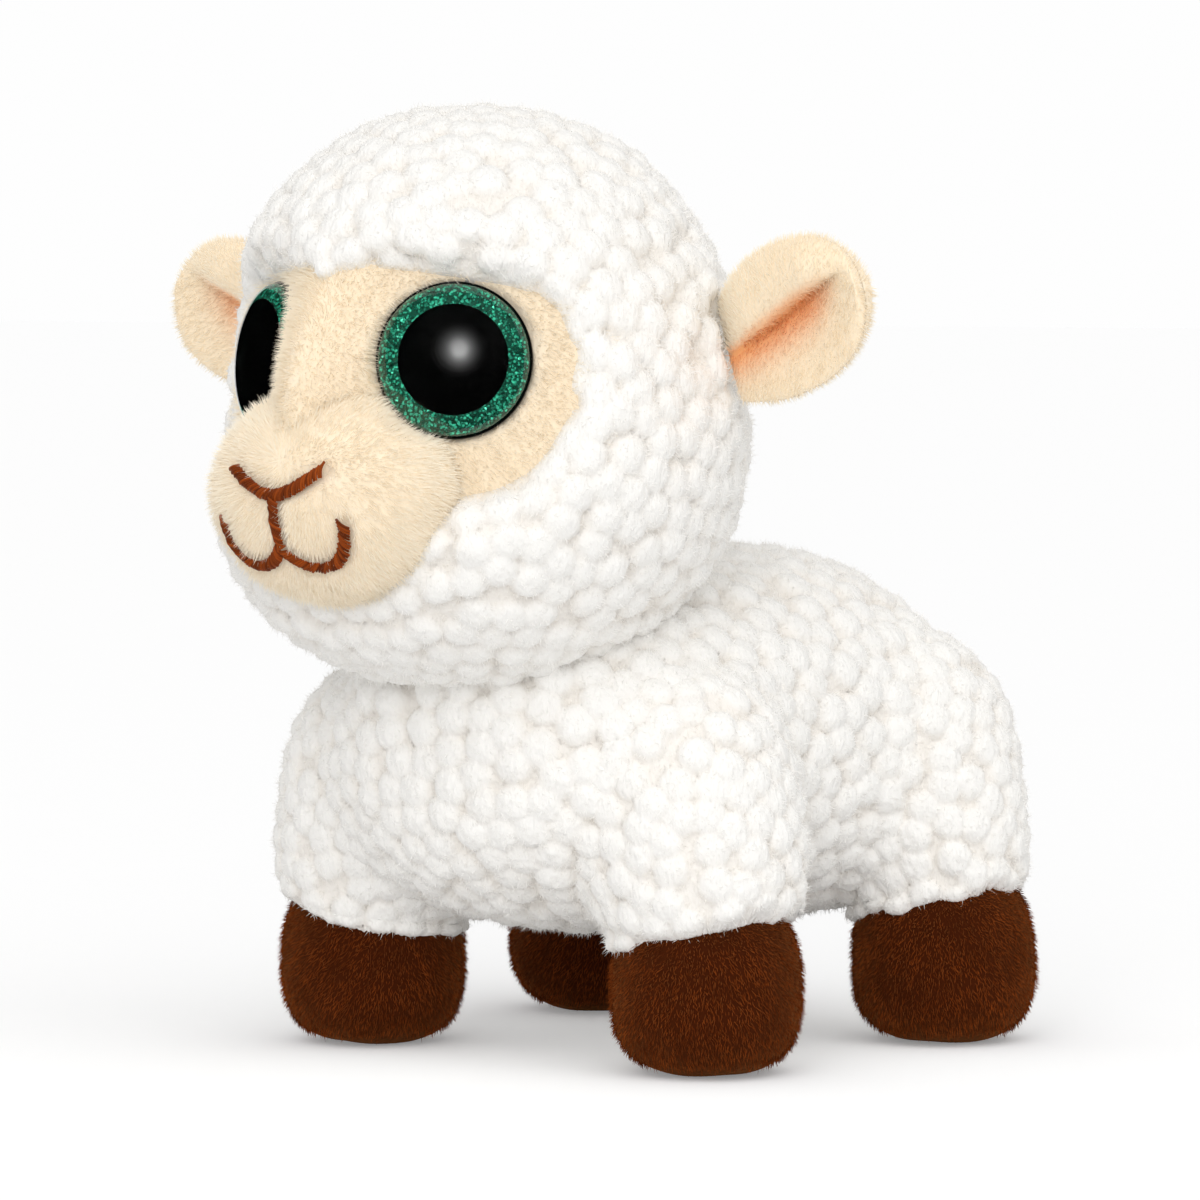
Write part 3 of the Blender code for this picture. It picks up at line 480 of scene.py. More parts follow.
def curl_tree() -> bpy.types.NodeTree:
    """Geometry Nodes that swell a smooth fleece into packed round curls."""
    crowding = 4.0e5
    edge_scale, tuft_scale, grain_scale = 260.0, 620.0, 900.0
    lowest, tallest = 0.84, 1.16
    reach_share = 0.74
    tuft_level, tuft_share = 0.45, 0.22
    sizes = ("Curl Size", "Crown Rise", "Crease Depth", "Wander", "Nap", "Seed", "Material")
    sheet = ShapeSheet("packed_curls", *sizes)
    given = sheet.given
    place = sheet.first("GeometryNodeInputPosition")
    spacing = {
        "Mesh": given["Geometry"],
        "Distance Min": given["Curl Size"],
        "Density Max": crowding,
        "Seed": given["Seed"],
    }
    centres = sheet.first("GeometryNodeDistributePointsOnFaces", spacing, distribute_method="POISSON")
    moved = sheet.vector("ADD", place, sheet.scaled(sheet.drift(place, edge_scale), given["Wander"]))
    source = {"Geometry": centres, "Sample Position": moved}
    away = sheet.add("GeometryNodeProximity", source, target_element="POINTS").outputs["Distance"]
    nearest = sheet.first("GeometryNodeSampleNearest", source, domain="POINT")
    reach = sheet.maths("DIVIDE", away, sheet.maths("MULTIPLY", given["Curl Size"], reach_share))
    bulge = sheet.maths("SUBTRACT", 1.0, sheet.maths("POWER", reach, 2.0), clamp=True)
    ball = sheet.maths("MULTIPLY", sheet.maths("SQRT", bulge), sheet.chance(lowest, tallest, ID=nearest))
    small = sheet.add("ShaderNodeTexVoronoi", {"Vector": moved, "Scale": tuft_scale}).outputs["Distance"]
    tuft = sheet.maths("MULTIPLY", sheet.maths("SUBTRACT", tuft_level, small), tuft_share)
    crown = sheet.maths("ADD", ball, tuft)
    tall = sheet.maths("ADD", given["Crown Rise"], given["Crease Depth"])
    rise = sheet.maths("SUBTRACT", sheet.maths("MULTIPLY", tall, crown), given["Crease Depth"])
    grain = sheet.maths("SUBTRACT", sheet.noise(place, grain_scale), 0.5)
    height = sheet.maths("ADD", rise, sheet.maths("MULTIPLY", grain, given["Nap"]))
    length = sheet.maths("MULTIPLY", height, sheet.attribute("pile"))
    offset = sheet.scaled(sheet.first("GeometryNodeInputNormal"), length)
    # The crowns are kept as "curl", from which the fleece material paints shade down in the creases
    # between curls.
    return sheet.ended(sheet.stored(sheet.moved(given["Geometry"], offset), "curl", crown))


def strand_tree() -> bpy.types.NodeTree:
    """Geometry Nodes that set closed tapered strands all over a piece."""
    clump_share = 3.0
    shortest, longest = 0.55, 1.2
    root_depth = -0.1 * MM
    sizes = ("Density", "Length", "Width", "Lean", "Spread", "Clump Size", "Seed", "Material")
    sheet = ShapeSheet("pile_strands", *sizes)
    given = sheet.given
    density = sheet.maths("MULTIPLY", given["Density"], sheet.attribute("pile"))
    source = {"Mesh": given["Geometry"], "Density": density, "Seed": given["Seed"]}
    spots = sheet.add("GeometryNodeDistributePointsOnFaces", source).outputs
    place = sheet.first("GeometryNodeInputPosition")
    clumps = sheet.drift(place, sheet.maths("DIVIDE", 1.0, given["Clump Size"]))
    lean = sheet.scaled(sheet.attribute("comb", "FLOAT_VECTOR"), given["Lean"])
    gathered = sheet.vector("ADD", sheet.scaled(clumps, clump_share), sheet.stray())
    upward = sheet.vector("ADD", spots["Normal"], lean)
    way = sheet.vector("ADD", upward, sheet.scaled(gathered, given["Spread"]))
    tall = sheet.chance(shortest, longest, Seed=given["Seed"])
    length = sheet.maths("MULTIPLY", tall, given["Length"])
    size = sheet.first("ShaderNodeCombineXYZ", {0: given["Width"], 1: given["Width"], 2: length})
    cone = {"Vertices": 3, "Side Segments": 1, "Radius Top": 0.0, "Radius Bottom": 0.5, "Depth": 1.0}
    strand = sheet.first("GeometryNodeMeshCone", cone, fill_type="NGON")
    own_height = sheet.add("ShaderNodeSeparateXYZ", {0: place}).outputs[2]
    # The strands keep their height as "tip", from which the cloth material paints shade at their roots.
    graded = sheet.stored(strand, "tip", own_height)
    sunk = sheet.moved(spots["Points"], sheet.scaled(spots["Normal"], root_depth))
    return sheet.ended(sheet.real(sheet.laid(sunk, graded, sheet.turned_to(way), size)))


def stitch_tree() -> bpy.types.NodeTree:
    """Geometry Nodes that lay satin stitches across a line of points."""
    smallest, largest = 0.86, 1.14
    size_seed, shade_seed = 4, 6
    sizes = ("Spacing", "Half Width", "Crown", "Thread Radius", "Slant", "Material")
    sheet = ShapeSheet("satin_stitches", *sizes)
    given = sheet.given
    line = sheet.first("GeometryNodeMeshToCurve", {"Mesh": given["Geometry"]})
    spacing = {"Curve": line, "Length": given["Spacing"]}
    even = sheet.first("GeometryNodeResampleCurve", spacing, mode="LENGTH")
    edge = sheet.first("ShaderNodeCombineXYZ", {0: given["Slant"], 1: given["Half Width"]})
    middle = sheet.first("ShaderNodeCombineXYZ", {2: given["Crown"]})
    bow = {"Resolution": 5, "Start": edge, "Middle": middle, "End": sheet.scaled(edge, -1.0)}
    arc = sheet.first("GeometryNodeCurveQuadraticBezier", bow)
    ring = {"Resolution": 5, "Radius": given["Thread Radius"]}
    section = sheet.first("GeometryNodeCurvePrimitiveCircle", ring)
    skin = {"Curve": arc, "Profile Curve": section, "Fill Caps": True}
    stitch = sheet.first("GeometryNodeCurveToMesh", skin)
    upright = sheet.turned_to(sheet.attribute("outward", "FLOAT_VECTOR"))
    along = {"Rotation": upright, "Vector": sheet.first("GeometryNodeInputTangent")}
    turn = sheet.first("FunctionNodeAlignRotationToVector", along, axis="X", pivot_axis="Z")
    laid = sheet.laid(even, stitch, turn, sheet.chance(smallest, largest, Seed=size_seed))
    toned = sheet.stored(laid, "shade", sheet.chance(0.0, 1.0, Seed=shade_seed), "INSTANCE")
    return sheet.ended(sheet.first("GeometryNodeSetShadeSmooth", {"Geometry": sheet.real(toned)}))


def flake_tree() -> bpy.types.NodeTree:
    """Geometry Nodes that scatter small tilted flakes of glitter over a disc."""
    smallest, largest = 0.45, 1.25
    size_seed, shade_seed = 7, 9
    top_share = 0.85
    thickness = 0.04 * MM
    sheet = ShapeSheet("glitter_flakes", "Density", "Flake Radius", "Tilt", "Seed", "Material")
    given = sheet.given
    source = {"Mesh": given["Geometry"], "Density": given["Density"], "Seed": given["Seed"]}
    spots = sheet.add("GeometryNodeDistributePointsOnFaces", source).outputs
    way = sheet.vector("ADD", spots["Normal"], sheet.scaled(sheet.stray(), given["Tilt"]))
    disc = {
        "Vertices": 5,
        "Side Segments": 1,
        "Radius Top": sheet.maths("MULTIPLY", given["Flake Radius"], top_share),
        "Radius Bottom": given["Flake Radius"],
        "Depth": thickness,
    }
    flake = sheet.first("GeometryNodeMeshCone", disc, fill_type="NGON")
    size = sheet.chance(smallest, largest, Seed=size_seed)
    laid = sheet.laid(spots["Points"], flake, sheet.turned_to(way), size)
    tinted = sheet.stored(laid, "shade", sheet.chance(0.0, 1.0, Seed=shade_seed), "INSTANCE")
    return sheet.ended(sheet.real(tinted))


# Finishes


def rgba(colour: Colour) -> tuple[float, float, float, float]:
    """A colour with full opacity."""
    return (*colour, 1.0)


class MaterialSheet(NodeSheet):
    """The sheet of a new material."""

    def __init__(self, name: str) -> None:
        """Starts the material with one shader."""
        self.material = bpy.data.materials.new(name)
        self.material.use_nodes = True
        super().__init__(self.material.node_tree)
        self.shader = self.tree.nodes["Principled BSDF"]

    def place(self) -> Socket:
        """Places in the object's own frame."""
        return self.add("ShaderNodeTexCoord").outputs["Object"]

    def field(self, name: str) -> Socket:
        """An attribute of the piece."""
        return self.add("ShaderNodeAttribute", attribute_name=name).outputs["Fac"]

    def bump(self, height: Socket, depth: float, strength: float) -> Socket:
        """Normals of a surface with a fine relief."""
        return self.first("ShaderNodeBump", {"Height": height, "Distance": depth, "Strength": strength})

    def let_through(self, share: Socket) -> None:
        """Lets a share of the rays go straight through the piece."""
        clear = self.first("ShaderNodeBsdfTransparent")
        either = self.first("ShaderNodeMixShader", {0: share, 1: self.shader.outputs[0], 2: clear})
        self.fill(self.tree.nodes["Material Output"], {0: either})

    def ended(self, look: dict) -> bpy.types.Material:
        """Gives inputs of the shader, by name, and hands over the material."""
        self.fill(self.shader, look)
        return self.material


def mottle_group() -> bpy.types.NodeTree:
    """Shader group, shared by the cloths, of colour patches and the height of fine hairs."""
    hair_stretch = (1.0, 1.0, 0.45)
    smoothest, roughest = 0.85, 1.0
    tree = bpy.data.node_groups.new("cloth_mottle", "ShaderNodeTree")
    sockets = (
        ("INPUT", "Color", ("Light", "Dark")),
        ("INPUT", "Float", ("Patch Scale", "Hair Scale", "Contrast")),
        ("OUTPUT", "Color", ("Colour",)),
        ("OUTPUT", "Float", ("Height", "Roughness")),
    )
    for way, sort, labels in sockets:
        for label in labels:
            tree.interface.new_socket(name=label, in_out=way, socket_type=f"NodeSocket{sort}")
    sheet = NodeSheet(tree)
    given = sheet.add("NodeGroupInput").outputs
    place = sheet.add("ShaderNodeTexCoord").outputs["Object"]
    patches = sheet.noise(place, given["Patch Scale"], 3.0)
    hairs = sheet.noise(sheet.vector("MULTIPLY", place, hair_stretch), given["Hair Scale"])
    both = sheet.maths("MULTIPLY", sheet.maths("ADD", patches, hairs), 0.5)
    centred = sheet.maths("SUBTRACT", both, 0.5)
    lifted = sheet.maths("MULTIPLY_ADD", centred, given["Contrast"], 0.5, clamp=True)
    results = {
        "Colour": sheet.mixed(lifted, given["Dark"], given["Light"]),
        "Height": hairs,
        "Roughness": sheet.spread(both, 0.3, 0.7, smoothest, roughest),
    }
    sheet.add("NodeGroupOutput", results)
    return tree


@dataclass(frozen=True)
class ClothFinish:
    """Fleece or plush in two tones, with painted shade: deeper at the roots of the pile and down in the
    creases.
    """

    name: str
    light: Colour
    dark: Colour
    # Painted shade: the colour at the roots of the strands and on the cloth under them.
    root: Colour
    # Painted shade: the colour down in the creases of the cloth, found from a field of the piece.
    crease: Colour
    crease_shade_field: str = "open"
    crease_shade_from: float = 0.0
    crease_shade_to: float = 1.0
    root_share: float = 0.6
    patch_scale: float = 120.0
    hair_scale: float = 900.0
    contrast: float = 2.0
    bump_depth: float = 0.25 * MM
    bump_strength: float = 0.8
    sheen: float = 0.15
    sheen_roughness: float = 0.5
    sheen_tint: Colour = (1.0, 1.0, 1.0)
    gloss: float = 0.12

    def material(self, mottle: bpy.types.NodeTree) -> bpy.types.Material:
        """Builds the material round the shared group of mottled tones."""
        sheet = MaterialSheet(self.name)
        values = {
            "Light": rgba(self.light),
            "Dark": rgba(self.dark),
            "Patch Scale": self.patch_scale,
            "Hair Scale": self.hair_scale,
            "Contrast": self.contrast,
        }
        tones = sheet.add("ShaderNodeGroup", values, node_tree=mottle).outputs
        # Painted shade: towards the roots of the strands, and on the cloth under them, which has no tip
        # field, the colour goes to the root colour.
        outer = sheet.spread(sheet.field("tip"), 0.0, self.root_share, 0.0, 1.0)
        pile = sheet.mixed(outer, rgba(self.root), tones["Colour"])
        # Painted shade: down in the creases the colour goes to the crease colour.
        crease = sheet.field(self.crease_shade_field)
        unshaded_share = sheet.spread(crease, self.crease_shade_from, self.crease_shade_to, 0.0, 1.0)
        look = {
            "Base Color": sheet.mixed(unshaded_share, rgba(self.crease), pile),
            "Roughness": tones["Roughness"],
            "Normal": sheet.bump(tones["Height"], self.bump_depth, self.bump_strength),
            "Specular IOR Level": self.gloss,
            "Sheen Weight": self.sheen,
            "Sheen Roughness": self.sheen_roughness,
            "Sheen Tint": rgba(self.sheen_tint),
        }
        return sheet.ended(look)


@dataclass(frozen=True)
class ThreadFinish:
    """Glossy embroidery thread with twisted plies."""

    name: str
    light: Colour
    dark: Colour
    ply_scale: float = 2600.0
    ply_relief: float = 0.03 * MM
    wear_scale: float = 700.0
    own_share: float = 2.0
    gloss: float = 0.12

    def material(self) -> bpy.types.Material:
        """Builds the material."""
        sheet = MaterialSheet(self.name)
        place = sheet.place()
        wave = {"Vector": place, "Scale": self.ply_scale, "Distortion": 3.0, "Detail": 1.0}
        plies = sheet.add("ShaderNodeTexWave", wave, bands_direction="DIAGONAL").outputs["Fac"]
        own = sheet.maths("MULTIPLY", sheet.field("shade"), self.own_share)
        tone = sheet.maths("MULTIPLY", sheet.maths("ADD", plies, own), 0.33)
        look = {
            "Base Color": sheet.mixed(tone, rgba(self.dark), rgba(self.light)),
            "Roughness": sheet.spread(sheet.noise(place, self.wear_scale), 0.3, 0.7, 0.42, 0.6),
            "Specular IOR Level": self.gloss,
            "Normal": sheet.bump(plies, self.ply_relief, 0.6),
        }
        return sheet.ended(look)


@dataclass(frozen=True)
class MouldedFinish:
    """Moulded plastic with a faint orange-peel surface."""

    name: str
    colour: Colour
    tint: Colour
    smoothest: float
    roughest: float
    metallic: float = 0.0
    cloud_scale: float = 350.0
    relief: float = 0.005 * MM

    def material(self) -> bpy.types.Material:
        """Builds the material."""
        sheet = MaterialSheet(self.name)
        clouds = sheet.noise(sheet.place(), self.cloud_scale)
        look = {
            "Base Color": sheet.mixed(clouds, rgba(self.colour), rgba(self.tint)),
            "Roughness": sheet.spread(clouds, 0.3, 0.7, self.smoothest, self.roughest),
            "Normal": sheet.bump(clouds, self.relief, 0.3),
            "Metallic": self.metallic,
        }
        return sheet.ended(look)


@dataclass(frozen=True)
class FlakeFinish:
    """Foil flakes of several greens, the rarest painted bright as glints."""

    name: str
    deep: Colour
    painted_glint: Colour
    glint_rarity: float = 1.8
    metallic: float = 0.40

    def material(self) -> bpy.types.Material:
        """Builds the material."""
        sheet = MaterialSheet(self.name)
        shade = sheet.field("shade")
        # Painted glints: a few flakes, by a power of their random shade, take the bright colour.
        tone = sheet.maths("POWER", shade, self.glint_rarity)
        look = {
            "Base Color": sheet.mixed(tone, rgba(self.deep), rgba(self.painted_glint)),
            "Roughness": sheet.spread(shade, 0.0, 1.0, 0.30, 0.15),
            "Metallic": self.metallic,
        }
        return sheet.ended(look)


@dataclass(frozen=True)
class ClearFinish:
    """Clear polished plastic that lets the lamps through to what lies under it."""

    name: str
    colour: Colour = (0.99, 1.0, 0.99)
    ior: float = 1.49
    wear_scale: float = 500.0
    wear: float = 0.03

    def material(self) -> bpy.types.Material:
        """Builds the material."""
        sheet = MaterialSheet(self.name)
        wear = sheet.noise(sheet.place(), self.wear_scale, 3.0)
        sheet.let_through(sheet.add("ShaderNodeLightPath").outputs["Is Shadow Ray"])
        look = {
            "Roughness": sheet.spread(wear, 0.4, 0.8, 0.0, self.wear),
            "Base Color": rgba(self.colour),
            "Transmission Weight": 1.0,
            "IOR": self.ior,
        }
        return sheet.ended(look)


class Kit:
    """The finishes and node trees that the sub-assemblies share."""

    def __init__(self) -> None:
        """Builds each of them once."""
        mottle = mottle_group()
        # Painted shade: each cloth's root colour is shade at the roots of its pile, and its crease colour
        # is shade down in its creases.
        self.fleece = ClothFinish(
            "white_fleece_curls",
            light=(0.975, 0.965, 0.94),
            dark=(0.955, 0.94, 0.91),
            root=(0.97, 0.955, 0.925),
            crease=(0.93, 0.895, 0.845),
            crease_shade_field="curl",
            crease_shade_from=0.20,
            crease_shade_to=0.85,
            patch_scale=160.0,
            hair_scale=1400.0,
            bump_depth=0.45 * MM,
        ).material(mottle)
        self.peach = ClothFinish(
            "peach_plush_pile",
            light=(1.0, 0.95, 0.82),
            dark=(1.0, 0.885, 0.71),
            root=(1.0, 0.87, 0.68),
            crease=(0.96, 0.60, 0.36),
            sheen=0.4,
        ).material(mottle)
        self.apricot = ClothFinish(
            "apricot_plush_pile",
            light=(1.0, 0.965, 0.84),
            dark=(1.0, 0.89, 0.71),
            root=(1.0, 0.85, 0.64),
            crease=(1.0, 0.50, 0.21),
            sheen=0.3,
        ).material(mottle)
        self.brown = ClothFinish(
            "brown_plush_pile",
            light=(0.330, 0.070, 0.011),
            dark=(0.095, 0.017, 0.003),
            root=(0.050, 0.009, 0.002),
            crease=(0.020, 0.005, 0.002),
            patch_scale=160.0,
            hair_scale=700.0,
            contrast=3.6,
            sheen=0.34,
            sheen_tint=(1.0, 0.38, 0.11),
            gloss=0.02,
        ).material(mottle)
        self.thread = ThreadFinish("brown_thread", (0.42, 0.080, 0.008), (0.075, 0.012, 0.002)).material()
        black, faint_black = (0.0010, 0.0010, 0.0010), (0.0025, 0.0025, 0.0025)
        self.black = MouldedFinish(
            "black_plastic_gloss", black, faint_black, smoothest=0.05, roughest=0.12
        ).material()
        deep_green, light_green = (0.002, 0.060, 0.036), (0.004, 0.120, 0.070)
        self.backing = MouldedFinish(
            "green_glitter_base", deep_green, light_green, smoothest=0.25, roughest=0.45, metallic=0.2
        ).material()
        # Painted glints: the bright foil colour stands in for flakes that catch the light.
        dark_foil, painted_glint_foil = (0.001, 0.045, 0.026), (0.10, 1.0, 0.62)
        self.flakes = FlakeFinish("green_glitter_flakes", dark_foil, painted_glint_foil).material()
        self.clear = ClearFinish("clear_plastic_dome").material()
        white, faint_white = (0.78, 0.78, 0.76), (0.84, 0.84, 0.82)
        self.white_plastic = MouldedFinish(
            "white_plastic_washer", white, faint_white, smoothest=0.35, roughest=0.5
        ).material()
        self.curls = curl_tree()
        self.strands = strand_tree()
        self.stitches = stitch_tree()
        self.glitter = flake_tree()


CLUMP_SIZE = 1.6 * MM


class Nap(Enum):
    """Density, length, width, lean and spread of the strands on each sort of cloth."""

    FLEECE = (1.75e6, 1.25 * MM, 0.14 * MM, 0.0, 1.4)
    FACE = (6.5e6, 2.0 * MM, 0.16 * MM, 1.0, 0.34)
    EAR = (6.5e6, 1.35 * MM, 0.16 * MM, 1.0, 0.34)
    HOOF = (5.0e6, 1.3 * MM, 0.17 * MM, 0.9, 0.45)


def strands_on(piece: Piece, kit: Kit, nap: Nap, material: bpy.types.Material, seed: int) -> Piece:
    """Grows strands on a piece.

    Args:
        piece: Piece that carries them, with attributes "pile" and "comb".
        kit: The shared trees.
        nap: Sort of strands.
        material: Their material.
        seed: Seed of their places.

    Returns:
        One object of all the strands.
    """
    fuzz = added(f"{piece.name}_fuzz", piece.data.copy())
    values = dict(zip(("Density", "Length", "Width", "Lean", "Spread"), nap.value))
    values |= {"Clump Size": CLUMP_SIZE, "Seed": seed, "Material": material}
    return shaped(fuzz, kit.strands, values)


def worn(pieces: Pieces, body: str) -> None:
    """Lets pieces ride on one body."""
    for piece in pieces:
        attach(piece, body)


@dataclass(frozen=True)
class Fleece:
    """Curls of one fleece cover."""

    curl_size: float
    crown_rise: float = 0.65 * MM
    crease_depth: float = 0.85 * MM
    wander_share: float = 0.14
    nap: float = 0.7 * MM

    def cover(self, name: str, points: Array, faces: list, pile: Array, kit: Kit, seed: int) -> Pieces:
        """A cover swelled into curls, with fuzz on it.

        Args:
            name: Name of the piece.
            points: Corners of its smooth skin, one row each.
            faces: Corner numbers of each face.
            pile: Share of the curls' height and of the fuzz at each corner.
            kit: The shared finishes and trees.
            seed: Seed of the curls' places.

        Returns:
            The cover and its fuzz.
        """
        piece = object_of(name, points, faces, {"pile": pile, "comb": np.zeros_like(points)})
        values = {
            "Curl Size": self.curl_size,
            "Crown Rise": self.crown_rise,
            "Crease Depth": self.crease_depth,
            "Wander": self.wander_share * self.curl_size,
            "Nap": self.nap,
            "Seed": seed,
            "Material": kit.fleece,
        }
        shaped(piece, kit.curls, values)
        return [piece, strands_on(piece, kit, Nap.FLEECE, kit.fleece, seed)]


# Head


@dataclass
class Head:
    """Fleece of the head, and the face mask let in below it."""

    lobe_across: float = 0.0142
    lobe_height: float = 0.0012
    lobe_half_width: float = 0.0200
    lobe_half_height: float = 0.0192
    lobe_power: float = 2.35
    flat_distance: float = 0.0331
    recess: float = 0.0023
    bridge_round: float = 0.0020
    saddle_rise: float = 0.0058
    saddle_half_width: float = 0.0096
    saddle_top: float = 0.0240
    saddle_bottom: float = 0.0020
    edge_roll: float = 0.0042
    edge_inset: float = 0.0010
    edge_outer: float = 0.0014
    muzzle_valley: float = 0.0022
    muzzle_overlap: float = 0.5 * MM
    muzzle_fade: float = 1.5 * MM
    ear_collar: float = 0.0013
    flat_turn: float = math.radians(33)
    flat_tilt: float = math.radians(6)
    flat_round: float = 1.2 * MM
    outer_from: float = 0.022
    outer_width: float = 0.010
    edge_wander: float = 0.3 * MM
    edge_tuft: float = 5 * MM
    chin_fullness: float = 2.0 * MM
    chin_from: float = 0.55
    chin_width: float = 0.4
    valley_width: float = 4.0 * MM
    collar_depth: float = 3.4 * MM
    collar_height: float = 10.0 * MM
    collar_reach: float = 8 * MM
    collar_ring: float = 1.15
    collar_width: float = 0.4
    tuck: float = 2.2 * MM
    least_tuck: float = 3.0 * MM
    least_facing: float = 0.2
    hidden_edge: float = 5.0 * MM
    bare_edge: float = 4.5 * MM
    pile_fade: float = 1.0 * MM
    parting: float = 0.4
    spreading: float = 0.05
    climbing: float = 0.02
    droop: float = 0.5
    upright: float = 0.85
    upright_width: float = 9 * MM
    wall: float = 1.6 * MM
    curls: Fleece = Fleece(4.6 * MM, crown_rise=0.82 * MM, crease_depth=1.05 * MM)
    cells: int = 100
    longest_edge: float = 1.3 * MM

    def flat_normal(self) -> Array:
        """Outward direction of the left flat of the face."""
        turn = self.flat_turn
        return unit(np.array((math.sin(turn), -math.cos(turn), math.tan(self.flat_tilt))))

    def mask_gap(self, across: Array, height: Array) -> Array:
        """Distance outside the mask's outline, seen from the front and from the head's middle."""
        sideways = np.abs((np.abs(across) - self.lobe_across) / self.lobe_half_width)
        upward = np.abs((height - self.lobe_height) / self.lobe_half_height)
        share = (sideways**self.lobe_power + upward**self.lobe_power) ** (1 / self.lobe_power)
        return (share - 1) * (self.lobe_half_width + self.lobe_half_height) / 2

    def seam(self, aim: Array, reach: Array) -> Array:
        """How far the fleece has risen from its seam with the face: 0 on the seam, 1 past the roll."""
        offsets = aim * reach[:, None]
        outer = smooth_step((np.abs(offsets[:, 0]) - self.outer_from) / self.outer_width)
        even = self.mask_gap(offsets[:, 0], offsets[:, 2]) - self.edge_inset - self.edge_outer * outer
        ragged = even + self.edge_wander * wander(offsets, self.edge_tuft, seed=3.0)
        return np.where(offsets[:, 1] < 0, np.clip(ragged / self.edge_roll, 0, 1), 1)

    def fleece_reach(self, aim: Array) -> Array:
        """How far the fleece lies from the head's middle, without the mask, in each direction."""
        reach = np.linalg.norm(HEAD.surface(aim) - HEAD.centre, axis=1)
        chin_way = unit(np.array((0, -0.55, -0.83)))
        chin = smooth_step((aim @ chin_way - self.chin_from) / self.chin_width)
        reach = reach + self.chin_fullness * chin
        points = aim * reach[:, None] + HEAD.centre
        beside = np.exp(-((np.maximum(MUZZLE.gap(points), 0) / self.valley_width) ** 2))
        reach = reach - self.muzzle_valley * beside
        mirrored = np.column_stack((np.abs(points[:, 0]), points[:, 1], points[:, 2]))
        aside, depth, height = (mirrored - np.array(Ear("left", 1).root)).T
        ring = np.hypot(depth / self.collar_depth, height / self.collar_height)
        rim = np.exp(-(((ring - self.collar_ring) / self.collar_width) ** 2))
        return reach + self.ear_collar * ((np.abs(aside) < self.collar_reach) * rim)

    def fleece_place(self, aim: Array) -> Array:
        """Points of the fleece, which rolls in under the edge of the face."""
        reach = self.fleece_reach(aim)
        cover = self.seam(aim, reach)
        normal = self.flat_normal()
        facing = np.abs(aim[:, 0]) * normal[0] + aim[:, 1] * normal[1] + aim[:, 2] * normal[2]
        under = (self.flat_distance - self.tuck) / np.maximum(facing, self.least_facing)
        under = np.minimum(under, reach - self.least_tuck)
        rounded = np.sqrt(1 - (1 - cover) ** 2)
        return aim * (under + (reach - under) * rounded)[:, None] + HEAD.centre

    def fleece(self, kit: Kit) -> Pieces:
        """The fleece, with finer cells where it rolls."""
        directions, quads = ball_grid(self.cells)
        aim = unit(HEAD.surface(directions) - HEAD.centre)
        aim, faces = refined(self.fleece_place, aim, quads.tolist(), self.longest_edge)
        points = self.fleece_place(aim)
        cover = self.seam(aim, self.fleece_reach(aim))
        bare = smooth_step((MUZZLE.gap(points) + self.muzzle_overlap) / self.muzzle_fade)
        pile = smooth_step(cover * 4) * bare
        return self.curls.cover("head_fleece", points, faces, pile, kit, seed=11)

    def face_front(self, across: Array, height: Array) -> Array:
        """How far the face lies in front of the head's middle: two flats with a rounded bridge."""
        normal = self.flat_normal()
        softened = np.sqrt(across**2 + self.bridge_round**2)
        flats = (self.flat_distance - normal[0] * softened - normal[2] * height) / -normal[1]
        ball = HEAD.front(across, height, -self.recess)
        front = (flats + ball - np.sqrt((flats - ball) ** 2 + self.flat_round**2)) / 2
        down = smooth_step((self.saddle_top - height) / (self.saddle_top - self.saddle_bottom))
        return front + self.saddle_rise * down * np.exp(-((across / self.saddle_half_width) ** 2))

    def face(self, kit: Kit, eyes: list["Eye"]) -> Pieces:
        """The face panel, from the middle of the bridge out to its hidden edge."""
        around, rings, halvings = 160, 46, 30
        sideways, upward = circle(around).T
        low, high = np.zeros(around), np.full(around, 0.06)
        for _ in range(halvings):
            middle = (low + high) / 2
            gap = self.mask_gap(middle * sideways, self.lobe_height + middle * upward)
            inside = gap < self.hidden_edge
            low, high = np.where(inside, middle, low), np.where(inside, high, middle)
        shares = np.linspace(1, 0, rings, endpoint=False)
        across = np.outer(shares, low * sideways).ravel()
        height = self.lobe_height + np.outer(shares, low * upward).ravel()
        across, height = np.append(across, 0.0), np.append(height, self.lobe_height)
        front = self.face_front(across, height)
        points = np.column_stack((across, -front, height)) + HEAD.centre
        pile = smooth_step((self.bare_edge - self.mask_gap(across, height)) / self.pile_fade)
        for eye in eyes:
            points, kept = eye.pressed(points)
            pile = pile * kept
        pile = pile * smooth_step((MUZZLE.gap(points) + self.pile_fade) / self.pile_fade)
        apart = np.sign(across) * (self.parting + np.abs(across) / MM * self.spreading)
        comb = unit(np.column_stack((apart, 0 * across, height / MM * self.climbing - self.droop)))
        comb = comb * (1 - self.upright * np.exp(-((across / self.upright_width) ** 2)))[:, None]
        faces = [tuple(face) for face in tube_faces(rings, around, closed=False)]
        top = (rings - 1) * around
        faces += [(top + i, top + (i + 1) % around, len(points) - 1) for i in range(around)]
        fields = {"pile": pile, "comb": comb, "open": np.ones(len(points))}
        panel = object_of("face_plush", points, faces, fields)
        wall = panel.modifiers.new("wall", "SOLIDIFY")
        wall.thickness = self.wall
        wall.offset = -1
        panel.data.materials.append(kit.peach)
        fuzz = strands_on(panel, kit, Nap.FACE, kit.peach, seed=21)
        return [settled(panel), fuzz]

    def build(self, kit: Kit, eyes: list["Eye"]) -> Pieces:
        """Builds the fleece and the face, and puts them on the head."""
        fleece, face = self.fleece(kit), self.face(kit, eyes)
        worn(fleece, "head")
        worn(face, "head")
        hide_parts("head_cover", "head_stuffing")
        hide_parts("face_panel")
        return fleece + face


